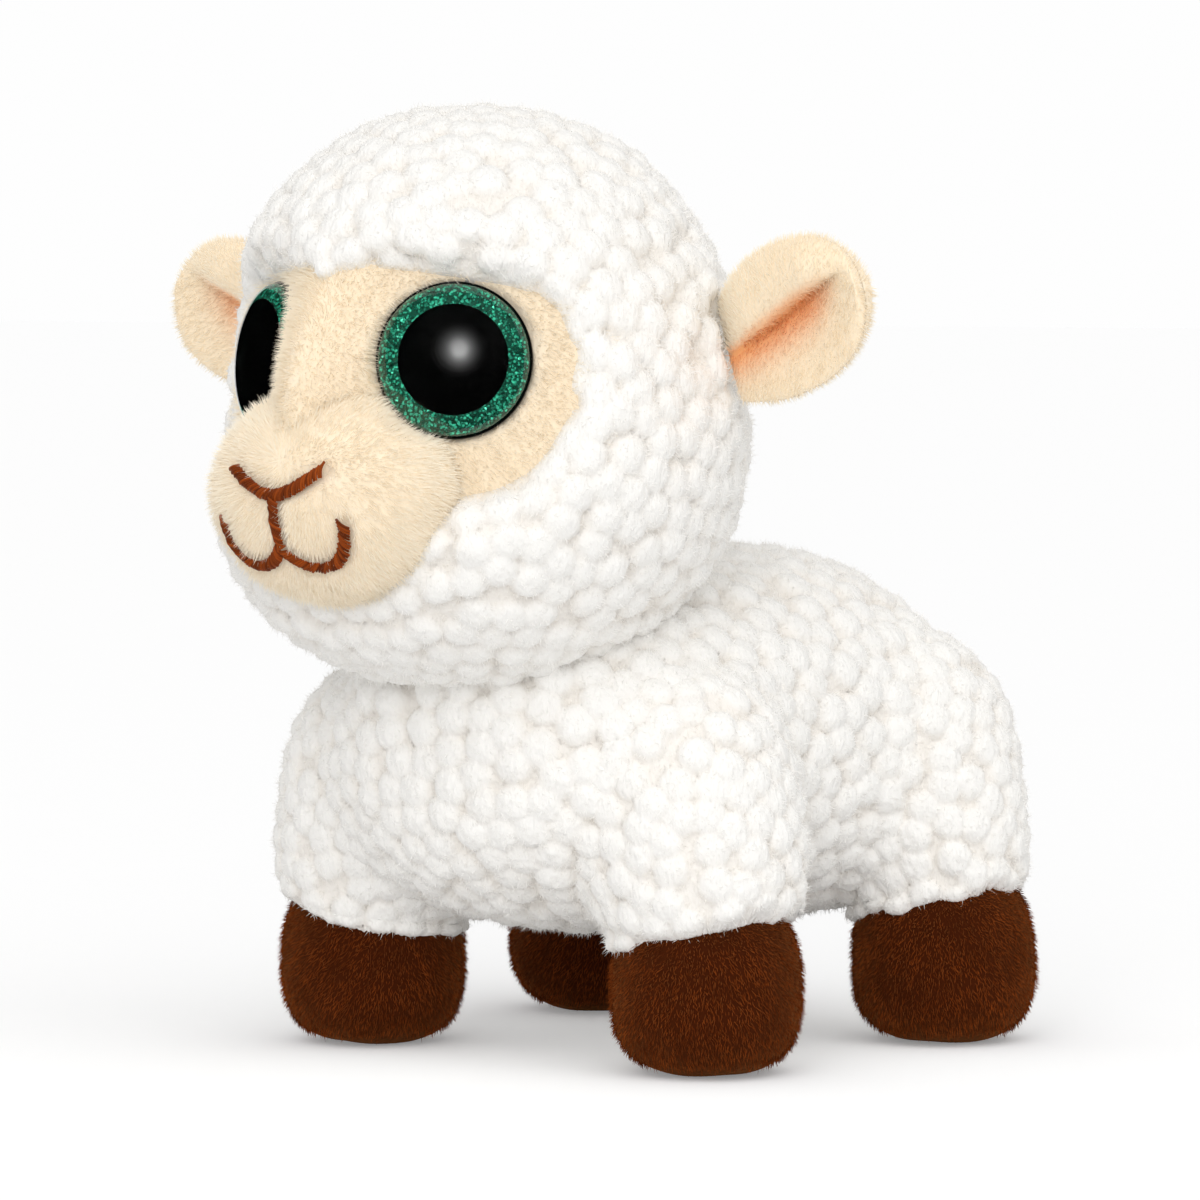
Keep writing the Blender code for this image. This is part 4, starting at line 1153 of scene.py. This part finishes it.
@dataclass
class Eye:
    """A safety eye: black back with its post, glitter ring, pupil and clear dome."""

    side: str
    sign: int
    radius: float = 0.0120
    rim: float = 0.0008
    pupil: float = 0.0080
    across: float = 0.0180
    height: float = 0.0052
    seat_distance: float = 0.0324
    back_thickness: float = 0.0012
    dome_height: float = 0.0062
    dome_inset: float = 0.35 * MM
    dome_steps: int = 24
    disc_rise: float = 0.15 * MM
    film: float = 0.05 * MM
    flake_rise: float = 0.08 * MM
    flake_density: float = 11.0e6
    flake_radius: float = 0.22 * MM
    flake_tilt: float = 0.30
    flake_overlap: float = 0.1 * MM
    flake_margin: float = 0.25 * MM
    pupil_rise: float = 0.20 * MM
    post_radius: float = 2 * MM
    post_length: float = 11 * MM
    back_bevel: float = 0.3 * MM
    rim_bevel: float = 0.1 * MM

    def place(self) -> Matrix:
        """The frame of the eye, with its Z out of the face."""
        left = Head().flat_normal()
        outward = Vector((self.sign * left[0], left[1], left[2]))
        across = self.sign * self.across
        forward = (self.seat_distance - outward.x * across - outward.z * self.height) / outward.y
        seat = Vector(HEAD.centre) + Vector((across, forward, self.height))
        return Matrix.Translation(seat) @ outward.to_track_quat("Z", "Y").to_matrix().to_4x4()

    def pressed(self, points: Array) -> tuple[Array, Array]:
        """Cloth pressed down under the eye.

        Args:
            points: Points of the cloth.

        Returns:
            The points, moved under the eye where they reach it, and how much pile each keeps.
        """
        place = self.place()
        outward = np.array(place.to_3x3().col[2])
        offsets = points - np.array(place.translation)
        above = offsets @ outward
        away = np.linalg.norm(offsets - above[:, None] * outward, axis=1)
        depth, slack, slope, reach, fade = 0.4 * MM, 0.1 * MM, 4.0, 6 * MM, 0.6 * MM
        past_rim = away - self.radius - slack
        allowed = -depth + np.clip(past_rim, 0, None) * slope
        near = (away < self.radius + reach) & (above > -reach)
        lowered = np.where(near, np.minimum(above, allowed), above)
        kept = np.where(near, smooth_step(past_rim / fade), 1)
        return points + (lowered - above)[:, None] * outward, kept

    def build(self, kit: Kit) -> Pieces:
        """Builds the eye and puts it on the head."""
        place = self.place()
        iris = self.radius - self.rim
        disc = self.back_thickness + self.disc_rise
        under_glass = disc + self.film
        bed_top = under_glass + self.film
        post, depth = self.post_radius, -self.post_length
        cup = [(0, depth), (post, depth), (post, 0), (self.radius - self.back_bevel, 0)]
        cup += [(self.radius, self.back_bevel), (self.radius, disc - self.rim_bevel)]
        cup += [(self.radius - self.rim_bevel, disc), (0, disc)]
        bed = [(0, disc), (iris, disc), (iris, bed_top), (0, bed_top)]
        high = under_glass + self.pupil_rise
        spot = [(0, disc), (self.pupil, disc), (self.pupil, high - self.film)]
        spot += [(self.pupil - self.film, high), (0, high)]
        rise = self.dome_height - under_glass
        bends = [math.pi / 2 * i / self.dome_steps for i in range(self.dome_steps)]
        edge = self.radius - self.dome_inset
        skin = [(edge * math.cos(bend), under_glass + rise * math.sin(bend)) for bend in bends]
        glass = [(0, under_glass), *skin, (0, self.dome_height)]

        def moulded(name: str, profile: list, material: bpy.types.Material) -> Piece:
            """A turned piece of the eye in its material."""
            piece = turned(f"{self.side}_eye_{name}", profile, place)
            piece.data.materials.append(material)
            return piece

        made = [
            (moulded("rim", cup, kit.black), "black_plastic", "back"),
            (moulded("glitter_bed", bed, kit.backing), "green_glitter", "glitter_ring"),
            (self.flakes(kit, place, under_glass + self.flake_rise, iris), "green_glitter", None),
            (moulded("black_pupil", spot, kit.black), "black_plastic", "pupil"),
            (moulded("clear_dome", glass, kit.clear), "clear_plastic", "dome"),
        ]
        for piece, slot, node in made:
            worn([piece], "head")
            if node:
                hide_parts(f"{self.side}_eye_{node}")
        return [piece for piece, _, _ in made]

    def flakes(self, kit: Kit, place: Matrix, height: float, iris: float) -> Piece:
        """Glitter flakes over the ring between the pupil and the rim."""
        around = 96
        inner, outer = self.pupil - self.flake_overlap, iris - self.flake_margin
        ring = np.column_stack((circle(around), np.zeros(around)))
        rows = [ring * radius + (0, 0, height) for radius in (inner, outer)]
        points = carried(np.concatenate(rows), place)
        faces = [tuple(reversed(face)) for face in tube_faces(2, around, closed=False)]
        bed = object_of(f"{self.side}_eye_flakes", points, faces)
        values = {
            "Density": self.flake_density,
            "Flake Radius": self.flake_radius,
            "Tilt": self.flake_tilt,
            "Seed": 5 + self.sign,
            "Material": kit.flakes,
        }
        return shaped(bed, kit.glitter, values)


@dataclass
class Muzzle:
    """The stuffed muzzle with its embroidered nose, lip line and mouth."""

    cells: int = 64
    nose_half_width: float = 0.0089
    nose_top: float = 0.0040
    nose_bottom: float = 0.0001
    mouth_half_width: float = 0.0120
    mouth_corner: float = -0.0041
    mouth_middle: float = -0.0078
    mouth_sag: float = 0.0046
    lip_heights: tuple[float, ...] = (-0.0006, -0.0026, -0.0050, -0.0071)
    draw_in: float = 0.9 * MM
    draw_width: float = 1.5 * MM
    bare_from: float = 0.7 * MM
    lumps: float = 0.35 * MM
    lump_size: float = 7 * MM
    back: float = -0.044
    back_fade: float = 2 * MM
    inset: float = 0.2 * MM
    thread_lift: float = 0.15 * MM
    thread_radius: float = 0.22 * MM
    stitch_spacing: float = 0.46 * MM
    stitch_half_width: float = 0.88 * MM
    stitch_crown: float = 1.05 * MM
    stitch_slant: float = 0.72 * MM

    def bend(self, corners: list, steps: int = 24) -> Array:
        """Points along a smooth curve with four corners."""
        t = np.linspace(0, 1, steps)[:, None]
        start, first, second, end = (np.array(corner) for corner in corners)
        near_start = (1 - t) ** 3 * start + 3 * t * (1 - t) ** 2 * first
        return near_start + 3 * t**2 * (1 - t) * second + t**3 * end

    def mirrored(self, half: Array) -> Array:
        """The curve on both sides of the middle line."""
        return np.concatenate((half[:0:-1] * (-1, 1), half))

    def lines(self) -> dict[str, Array]:
        """The places of the stitched lines, seen from the front of the muzzle."""
        width, low, top = self.nose_half_width, self.nose_bottom, self.nose_top
        nose = self.bend([(0, low), (width * 0.33, low), (width * 0.67, (top + low) / 2), (width, top)])
        width, low = self.mouth_half_width, self.mouth_middle - self.mouth_sag
        corners = [(0, self.mouth_middle), (width * 0.25, low), (width, low), (width, self.mouth_corner)]
        return {
            "nose_stitching": self.mirrored(nose),
            "lip_stitching": self.bend([(0, height) for height in self.lip_heights]),
            "mouth_stitching": self.mirrored(self.bend(corners)),
        }

    def on_surface(self, line: Array, grow: float) -> Array:
        """Places of a line, carried onto the front of the muzzle."""
        front = MUZZLE.front(line[:, 0], line[:, 1], grow)
        return np.column_stack((line[:, 0], -front, line[:, 1])) + MUZZLE.centre

    def plush(self, kit: Kit, eyes: list[Eye]) -> Pieces:
        """The plush, drawn in along the stitching and pressed in under the eyes."""
        directions, quads = ball_grid(self.cells)
        points = MUZZLE.surface(directions, -self.inset)
        outward = MUZZLE.outward(points)
        stitched = np.concatenate([self.on_surface(line, 0) for line in self.lines().values()])
        away = np.min(np.linalg.norm(points[:, None] - stitched[None], axis=2), axis=1)
        points = points - outward * (self.draw_in * np.exp(-((away / self.draw_width) ** 2)))[:, None]
        points = points + outward * (self.lumps * wander(points, self.lump_size, seed=8.0))[:, None]
        pile = smooth_step((away - self.bare_from) / self.bare_from)
        pile = pile * smooth_step((self.back - points[:, 1]) / self.back_fade + 0.5)
        for eye in eyes:
            points, kept = eye.pressed(points)
            pile = pile * kept
        source = np.array(MUZZLE.centre) + (0, -0.016, 0.006)
        comb = points - source
        comb = unit(comb - (comb * outward).sum(1)[:, None] * outward)
        fields = {"pile": pile, "comb": comb, "open": np.ones(len(points))}
        piece = object_of("muzzle_plush", points, quads, fields)
        piece.data.materials.append(kit.peach)
        return [piece, strands_on(piece, kit, Nap.FACE, kit.peach, seed=31)]

    def stitching(self, kit: Kit) -> Pieces:
        """Satin stitches along the nose, the lip line and the mouth."""
        made = []
        for name, line in self.lines().items():
            points = self.on_surface(line, self.thread_lift)
            mesh = bpy.data.meshes.new(f"{name}_satin")
            mesh.from_pydata(points.tolist(), [(i, i + 1) for i in range(len(points) - 1)], [])
            outward = mesh.attributes.new("outward", "FLOAT_VECTOR", "POINT")
            outward.data.foreach_set("vector", MUZZLE.outward(points).astype(np.float32).ravel())
            piece = added(f"{name}_satin", mesh)
            values = {
                "Spacing": self.stitch_spacing,
                "Half Width": self.stitch_half_width,
                "Crown": self.stitch_crown,
                "Thread Radius": self.thread_radius,
                "Slant": self.stitch_slant,
                "Material": kit.thread,
            }
            made.append(shaped(piece, kit.stitches, values))
            worn([piece], "head")
            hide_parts(name)
        return made

    def build(self, kit: Kit, eyes: list[Eye]) -> Pieces:
        """Builds the muzzle and puts it on the head."""
        plush = self.plush(kit, eyes)
        worn(plush, "head")
        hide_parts("muzzle_cover", "muzzle_stuffing")
        return plush + self.stitching(kit)


@dataclass
class Ear:
    """An ear of two plush leaves, folded forward about a deep crease."""

    side: str
    sign: int
    root: Place = (0.039673, -0.011363, 0.1120)
    length: float = 0.0320
    half_width: float = 0.0116
    root_share: float = 0.70
    widest_share: float = 0.50
    tip_power: float = 2.4
    cup: float = 0.0030
    fold_at: float = -0.12
    fold_climb: float = 0.55
    flap_rise: float = 0.0040
    flap_overhang: float = 0.0012
    pocket_depth: float = 0.0008
    leaf: float = 0.0019
    thinnest: float = 0.0006
    half_gap: float = 0.00008
    root_inset: float = 0.0009
    sweep: float = math.radians(3.5)
    climb: float = math.radians(19)
    back_share: float = 0.97
    full_share: float = 0.25

    def past_widest(self, share: float) -> float:
        """How far a share of the length lies from the widest place, at 0, towards the tip, at 1."""
        return max(share - self.widest_share, 0) / (1 - self.widest_share)

    def half_at(self, share: float) -> float:
        """Half width at a share of the length."""
        rise = math.sin(math.pi / 2 * min(share / self.widest_share, 1))
        tip = (1 - self.past_widest(share) ** self.tip_power) ** (1 / self.tip_power)
        return self.half_width * (self.root_share + (1 - self.root_share) * rise) * tip

    def folded(self, past_fold: Array, share: float, edge: Array) -> tuple[Array, Array, Array]:
        """The crease of the front leaf at one ring.

        Args:
            past_fold: How far each point lies past the fold, as a share of the half width.
            share: Share of the ear's length.
            edge: Fullness of the leaf towards its edges.

        Returns:
            The rise of the flap, its overhang, and how deep in the crease each point lies, which sets its
            painted shade.
        """

        def bell(before: float) -> Array:
            """Eases from 0 to 1 up to the fold, over a share of the half width."""
            return np.exp(-((np.minimum(past_fold, 0) / before) ** 2))

        reach = smooth_step(np.array((0.99 - share) / 0.28)) * smooth_step(np.array(share / 0.35))
        rolled = np.sqrt(np.clip(1 - (np.clip(1 - past_fold / 0.30, 0, 1)) ** 2, 0, 1))
        pocket = bell(0.35) * (1 - smooth_step(past_fold / 0.08))
        lip = smooth_step(past_fold / 0.04) * np.exp(-((np.maximum(past_fold, 0) / 0.45) ** 2))
        # Painted shade: how deep in the crease each point lies, fading towards the tip.
        tone = bell(0.42) * (1 - smooth_step(past_fold / 0.16))
        tone = tone * smooth_step(np.array((0.92 - share) / 0.35))
        rise = reach * (self.flap_rise * rolled * edge - self.pocket_depth * pocket)
        return rise, reach * self.flap_overhang * lip, tone

    def leaf_points(self, layer: int, rows: int, columns: int) -> tuple[Array, dict]:
        """The skin of one leaf.

        Args:
            layer: 1 for the front leaf and -1 for the back one.
            rows: Rings from the root to the tip.
            columns: Points across the leaf.

        Returns:
            The points, ring by ring with an end point for each end, and the fields for each.
        """
        outward = unit(np.array((self.sign, -math.tan(self.sweep), math.tan(self.climb))))
        widthwise = unit(np.array((0, 0, 1.0)) - outward * outward[2])
        frontward = np.cross(outward, widthwise) * self.sign
        root = np.array((self.sign * self.root[0], self.root[1], self.root[2]))
        across = np.linspace(-1, 1, columns)
        across = np.sin(across * math.pi / 2) * 0.4 + across * 0.6
        across = np.concatenate((across, across[-2:0:-1]))
        face = np.concatenate((np.ones(columns), np.zeros(columns - 2)))
        edge = np.sqrt(np.maximum(1 - np.abs(across) ** 3, 0))
        rings, opens, combs = [], [], []
        for share in 1 - (1 - np.linspace(0.004, 0.9985, rows)) ** 2:
            half = self.half_at(share) * (1 if layer > 0 else self.back_share)
            fullness = min(share / self.full_share, 1)
            from_middle = np.hypot(across * half / self.half_width, self.past_widest(share))
            cup = self.cup * min(share / self.widest_share, 1) * from_middle**1.5
            thickness = (self.thinnest + (self.leaf - self.thinnest) * fullness) * edge * face
            forward = cup + layer * (self.half_gap + thickness)
            sideways = half * across
            tone = np.zeros_like(across)
            past_fold = across - self.fold_at - self.fold_climb * share
            if layer > 0:
                rise, overhang, tone = self.folded(past_fold, share, edge)
                forward = forward + face * rise
                sideways = sideways - face * overhang
            along = self.root_inset + (self.length - self.root_inset) * share
            skin = root + outward * along + widthwise * sideways[:, None]
            rings.append(skin + frontward * forward[:, None])
            # The "open" field falls towards 0 in the crease, where the material paints shade.
            opens.append(1 - tone)
            combs.append(outward * (0.4 + 0.6 * share) + widthwise * np.sign(past_fold)[:, None])
        ends = [rings[0].mean(0), rings[-1].mean(0)]
        points = np.concatenate([*rings, np.array(ends)])
        fields = {
            "open": np.concatenate([*opens, np.ones(2)]),
            "pile": np.concatenate([np.tile(face, rows), np.zeros(2)]),
            "comb": unit(np.concatenate([*combs, np.tile(outward, (2, 1))])),
        }
        return points, fields

    def build(self, kit: Kit) -> Pieces:
        """Builds both leaves and puts them on the ear."""
        rows, columns = 54, 65
        made = []
        for name, layer, material, slot in (
            ("front", 1, kit.apricot, "apricot_plush"),
            ("back", -1, kit.peach, "peach_plush"),
        ):
            points, fields = self.leaf_points(layer, rows, columns)
            faces = tube_faces(rows, 2 * columns - 2)
            if self.sign * layer > 0:
                faces = [tuple(reversed(face)) for face in faces]
            leaf = object_of(f"{self.side}_ear_{name}_plush", points, faces, fields)
            leaf.data.materials.append(material)
            pair = [leaf, strands_on(leaf, kit, Nap.EAR, material, seed=41 + layer)]
            worn(pair, f"{self.side}_ear")
            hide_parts(f"{self.side}_ear_{name}")
            made += pair
        return made


# Body and legs


@dataclass
class Leg:
    """One leg, named as its body: a fleece tube that overhangs a hoof of brown plush."""

    name: str
    sign: int
    across: float
    back: float
    radius: float
    centre_height: float
    half_height: float
    taper: float
    lean: float = math.radians(9)
    seam: float = 0.0218
    seam_slant: float = 0.36
    overhang: float = 0.0008
    tucked_share: float = 0.92
    hoof_radius: float = 0.0150
    hoof_half_height: float = 0.0145
    hoof_centre: float = 0.0140
    hem_wander: float = 1.2 * MM
    hem_tuft: float = 5 * MM
    hang_from: float = 0.5 * MM
    hang_fade: float = 1.0 * MM
    pile_from: float = 0.8 * MM
    pile_fade: float = 1.2 * MM
    bare_sole: float = 1.3 * MM
    sole_fade: float = 1.6 * MM
    under_hem: float = 1.5 * MM
    hem_fade: float = 2 * MM
    lumps: float = 0.35 * MM
    lump_size: float = 8 * MM
    sole: float = 0.15 * MM
    blend_top: float = 0.062
    blend_bottom: float = 0.030
    curls: Fleece = Fleece(4.3 * MM)
    cells: int = 68
    hoof_cells: int = 44

    def tube(self) -> Form:
        """The form of the fleece tube."""
        inward = self.sign * math.tan(self.lean)
        x = self.sign * self.across - inward * (self.centre_height - self.seam)
        centre = (x, self.back, self.centre_height)
        halves = (self.radius, self.radius, self.half_height)
        return Form(centre, halves, power=2.6, taper=self.taper, lean=-self.sign * self.lean)

    def hoof(self) -> Form:
        """The form of the hoof."""
        centre = (self.sign * self.across, self.back, self.hoof_centre)
        halves = (self.hoof_radius, self.hoof_radius, self.hoof_half_height)
        return Form(centre, halves, power=2.8, taper=-0.03)

    def above_seam(self, points: Array) -> Array:
        """How far points lie above the fleece's lower edge, which climbs outwards and is ragged."""
        slant = self.seam_slant * (points[:, 0] * self.sign - self.across)
        ragged = self.hem_wander * wander(points, self.hem_tuft, seed=4.0)
        return points[:, 2] - self.seam - slant + ragged

    def fleece(self, kit: Kit) -> Pieces:
        """The fleece, which meets the trunk in a soft hollow and hangs a little over the hoof."""
        directions, quads = ball_grid(self.cells)
        form = self.tube()
        points = form.surface(directions)
        points = filleted(points, form.outward(points), [TRUNK], SOFT_HOLLOW)
        above = self.above_seam(points)
        hoof = self.hoof()
        skirt = hoof.pushed_out(points, self.overhang)
        inward = np.minimum(self.tucked_share / hoof.share(points), 1)
        tucked = hoof.centre + (points - hoof.centre) * inward[:, None]
        hangs = smooth_step((above + self.hang_from) / self.hang_fade)
        points = tucked + (skirt - tucked) * hangs[:, None]
        pile = smooth_step((above + self.pile_from) / self.pile_fade)
        return self.curls.cover(f"{self.name}_fleece", points, quads, pile, kit, seed=51)

    def foot(self, kit: Kit) -> Pieces:
        """The hoof, flat where it stands."""
        directions, quads = ball_grid(self.hoof_cells)
        form = self.hoof()
        points = form.surface(directions)
        outward = form.outward(points)
        swell = self.lumps * wander(points, self.lump_size, seed=6.0) - self.lumps
        points = points + outward * swell[:, None]
        points[:, 2] = np.maximum(points[:, 2], self.sole)
        down = np.array((0.25 * self.sign, -0.15, -1.0))
        comb = unit(down - (outward @ down)[:, None] * outward)
        standing = smooth_step((points[:, 2] - self.bare_sole) / self.sole_fade)
        showing = smooth_step((self.under_hem - self.above_seam(points)) / self.hem_fade)
        fields = {"pile": standing * showing, "comb": comb, "open": np.ones(len(points))}
        piece = object_of(f"{self.name}_hoof_plush", points, quads, fields)
        piece.data.materials.append(kit.brown)
        return [piece, strands_on(piece, kit, Nap.HOOF, kit.brown, seed=61)]

    def build(self, kit: Kit) -> Pieces:
        """Builds the leg, and puts its hoof on its body."""
        fleece = self.fleece(kit)
        foot = self.foot(kit)
        for piece in fleece:
            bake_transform(piece)
        worn(foot, self.name)
        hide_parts(f"{self.name}_cover", f"{self.name}_stuffing")
        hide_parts(f"{self.name}_hoof")
        return fleece + foot


def filleted(points: Array, outward: Array, others: list[Form], radius: float) -> Array:
    """Points raised in a soft hollow where a surface meets other forms."""
    for other in others:
        near = np.clip(radius - np.abs(other.gap(points)), 0, None)
        points = points + outward * (near**2 / (4 * radius))[:, None]
    return points


SIDES = {"left": 1, "right": -1}
LEG_PLANS = {
    "front": {
        "across": 0.0345,
        "back": -0.00935,
        "radius": 0.0169,
        "centre_height": 0.0370,
        "half_height": 0.0235,
        "taper": 0.02,
    },
    "rear": {
        "across": 0.0363,
        "back": 0.05015,
        "radius": 0.0150,
        "centre_height": 0.0380,
        "half_height": 0.0260,
        "taper": 0.05,
    },
}
LEGS = [
    Leg(f"{end}_{side}_leg", sign, **plan)
    for end, plan in LEG_PLANS.items()
    for side, sign in SIDES.items()
]


@dataclass
class Trunk:
    """Fleece of the body, dished under the head."""

    curls: Fleece = Fleece(4.7 * MM, crown_rise=0.90 * MM, crease_depth=1.05 * MM)
    cells: int = 120
    dish_gap: float = -0.0008
    tail_groove: float = 1.6 * MM
    groove_width: float = 2.2 * MM
    bare_depth: float = 5 * MM
    bare_fade: float = 2 * MM
    blend_below: float = 8 * MM
    blend_above: float = 1 * MM

    def build(self, kit: Kit) -> Pieces:
        """Builds the fleece, dished where it meets the head."""
        directions, quads = ball_grid(self.cells)
        points = TRUNK.surface(directions)
        points = filleted(points, TRUNK.outward(points), [leg.tube() for leg in LEGS], SOFT_HOLLOW)
        beside_tail = np.exp(-((TAIL.gap(points) / self.groove_width) ** 2))
        points = points - TRUNK.outward(points) * (self.tail_groove * beside_tail)[:, None]
        covered = smooth_step((HEAD.gap(points) + self.bare_depth) / self.bare_fade)
        points = HEAD.pushed_out(points, self.dish_gap)
        made = self.curls.cover("body_fleece", points, quads, covered, kit, seed=71)
        for part in made:
            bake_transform(part)
        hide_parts("body_cover", "body_stuffing", "pellet_pouch", "neck_stuffing")
        return made


@dataclass
class Tail:
    """A short curly tail that hangs from its top."""

    curls: Fleece = Fleece(3.6 * MM, crown_rise=0.8 * MM, crease_depth=0.8 * MM)
    cells: int = 26

    def build(self, kit: Kit) -> Pieces:
        """Builds the tail and puts it on its body."""
        directions, quads = ball_grid(self.cells)
        points = TAIL.surface(directions)
        made = self.curls.cover("tail_fleece", points, quads, np.ones(len(points)), kit, seed=81)
        worn(made, "tail")
        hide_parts("tail")
        return made


# Studio


@dataclass
class Studio:
    """Pale floor, soft lamps and the camera of the photograph."""

    camera_place: Place = (0.665785, -0.805766, 0.123939)
    aim: Place = (0.025375, -0.024451, 0.0740)
    lens: float = 196.93
    ambient: float = 0.575
    backdrop: float = 0.99
    floor_glow: float = 0.23
    floor_seen: float = 0.905
    floor_colour: float = 0.93
    floor_half: float = 12.0
    sun_power: float = 1.20
    sun_angle: float = math.radians(75)
    sun_turn: Place = (math.radians(31), math.radians(38.5), 0)
    box_azimuth: float = math.radians(31.5)
    box_elevation: float = math.radians(17)
    box_distance: float = 0.8
    box_radius: float = 0.26
    box_lamps: int = 12
    lamp_ratio: float = 0.84
    lamp_radiance: float = 0.07
    lamp_step: float = 0.125
    flag_radius: float = 1.6

    def floor(self) -> None:
        """A wide white floor that takes the object's shadow."""
        size = self.floor_half
        corners = np.array([(-size, -size, 0), (size, -size, 0), (size, size, 0), (-size, size, 0)])
        ground = object_of("studio_floor", corners, [(0, 1, 2, 3)])
        sheet = MaterialSheet("studio_floor")
        dust = sheet.noise(sheet.place(), 30.0)
        seen = sheet.add("ShaderNodeLightPath").outputs["Is Camera Ray"]
        share = sheet.spread(seen, 0.0, 1.0, self.floor_colour, self.floor_seen)
        look = {
            "Base Color": sheet.maths("MULTIPLY", share, sheet.spread(dust, 0.0, 1.0, 0.995, 1.0)),
            "Roughness": 1.0,
            "Specular IOR Level": 0.0,
            "Emission Color": rgba((1.0, 1.0, 1.0)),
            "Emission Strength": sheet.maths("MULTIPLY", seen, self.floor_glow),
        }
        ground.data.materials.append(sheet.ended(look))
        ground.visible_glossy = False
        ground.visible_transmission = False

    def world(self) -> None:
        """Even white light from all round, seen as white behind the object."""
        world = bpy.data.worlds.new("studio_air")
        world.use_nodes = True
        bpy.context.scene.world = world
        sheet = NodeSheet(world.node_tree)
        rays = sheet.add("ShaderNodeLightPath").outputs
        seen = sheet.maths("MAXIMUM", rays["Is Camera Ray"], rays["Is Glossy Ray"])
        seen = sheet.maths("MAXIMUM", seen, rays["Is Transmission Ray"])
        strength = sheet.spread(seen, 0.0, 1.0, self.ambient, self.backdrop)
        light = {"Color": rgba((1.0, 1.0, 1.0)), "Strength": strength}
        sheet.fill(world.node_tree.nodes["Background"], light)

    def sun(self) -> None:
        """A broad soft lamp from above and in front."""
        lamp = bpy.data.lights.new("soft_ceiling", "SUN")
        lamp.energy = self.sun_power
        lamp.angle = self.sun_angle
        lamp.specular_factor = 0.0
        added("soft_ceiling", lamp).rotation_euler = self.sun_turn

    def softbox(self) -> None:
        """Nested round lamps, whose reflection in the eyes is one highlight with a soft edge."""
        level = math.cos(self.box_elevation)
        sideways, forward = math.sin(self.box_azimuth) * level, math.cos(self.box_azimuth) * level
        back = Vector((sideways, -forward, math.sin(self.box_elevation)))
        for number in range(self.box_lamps):
            radius = self.box_radius * self.lamp_ratio**number
            radiance = self.lamp_radiance + self.lamp_step * number
            lamp = bpy.data.lights.new(f"softbox_{number}", "AREA")
            lamp.shape = "DISK"
            lamp.size = 2 * radius
            lamp.energy = math.pi**2 * radius**2 * radiance
            lamp.diffuse_factor = 0.0
            holder = added(f"softbox_{number}", lamp)
            holder.location = Vector(HEAD.centre) + back * (self.box_distance + MM * number)
            holder.rotation_euler = back.to_track_quat("Z", "Y").to_euler()
            holder.visible_camera = False

    def flag(self) -> None:
        """A black card round the camera, which only reflections see, as in a photo studio."""
        directions, quads = ball_grid(12)
        front = directions[:, 1] < 0.5
        kept = [quad for quad in quads if all(front[corner] for corner in quad)]
        card = object_of("black_flag", directions * self.flag_radius, kept)
        sheet = MaterialSheet("black_flag")
        sheet.let_through(sheet.add("ShaderNodeLightPath").outputs["Diffuse Depth"])
        look = {"Base Color": rgba((0.0, 0.0, 0.0)), "Specular IOR Level": 0.0}
        card.data.materials.append(sheet.ended(look))
        card.visible_camera = False
        card.visible_diffuse = False
        card.visible_shadow = False

    def camera(self) -> None:
        """The photograph's camera."""
        lens = bpy.data.cameras.new("photo_camera")
        lens.lens = self.lens
        lens.sensor_width = 36.0
        lens.clip_start = 0.01
        lens.clip_end = 60.0
        holder = added("photo_camera", lens)
        place, aim = Vector(self.camera_place), Vector(self.aim)
        holder.location = place
        holder.rotation_euler = (aim - place).to_track_quat("-Z", "Y").to_euler()
        bpy.context.scene.camera = holder

    def build(self) -> None:
        """Builds the whole studio."""
        bpy.context.scene.view_settings.view_transform = "Standard"
        self.floor()
        self.world()
        self.sun()
        self.softbox()
        self.flag()
        self.camera()


def main() -> None:
    """Builds each sub-assembly in turn."""
    logging.basicConfig(level=logging.INFO, format="%(message)s")
    kit = Kit()
    Studio().build()
    eyes = [Eye(side, sign) for side, sign in SIDES.items()]
    made = Trunk().build(kit)
    for leg in LEGS:
        made += leg.build(kit)
    made += Tail().build(kit)
    made += Head().build(kit, eyes)
    made += Muzzle().build(kit, eyes)
    for eye in eyes:
        made += eye.build(kit)
        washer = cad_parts[f"{eye.side}_eye_lock_washer"]
        washer.data.materials.clear()
        washer.data.materials.append(kit.white_plastic)
    for side, sign in SIDES.items():
        made += Ear(side, sign).build(kit)
    for piece in made:
        triangles = sum(len(face.vertices) - 2 for face in piece.data.polygons)
        LOG.info("%-36s %8d triangles", piece.name, triangles)


if __name__ == "__main__":
    main()
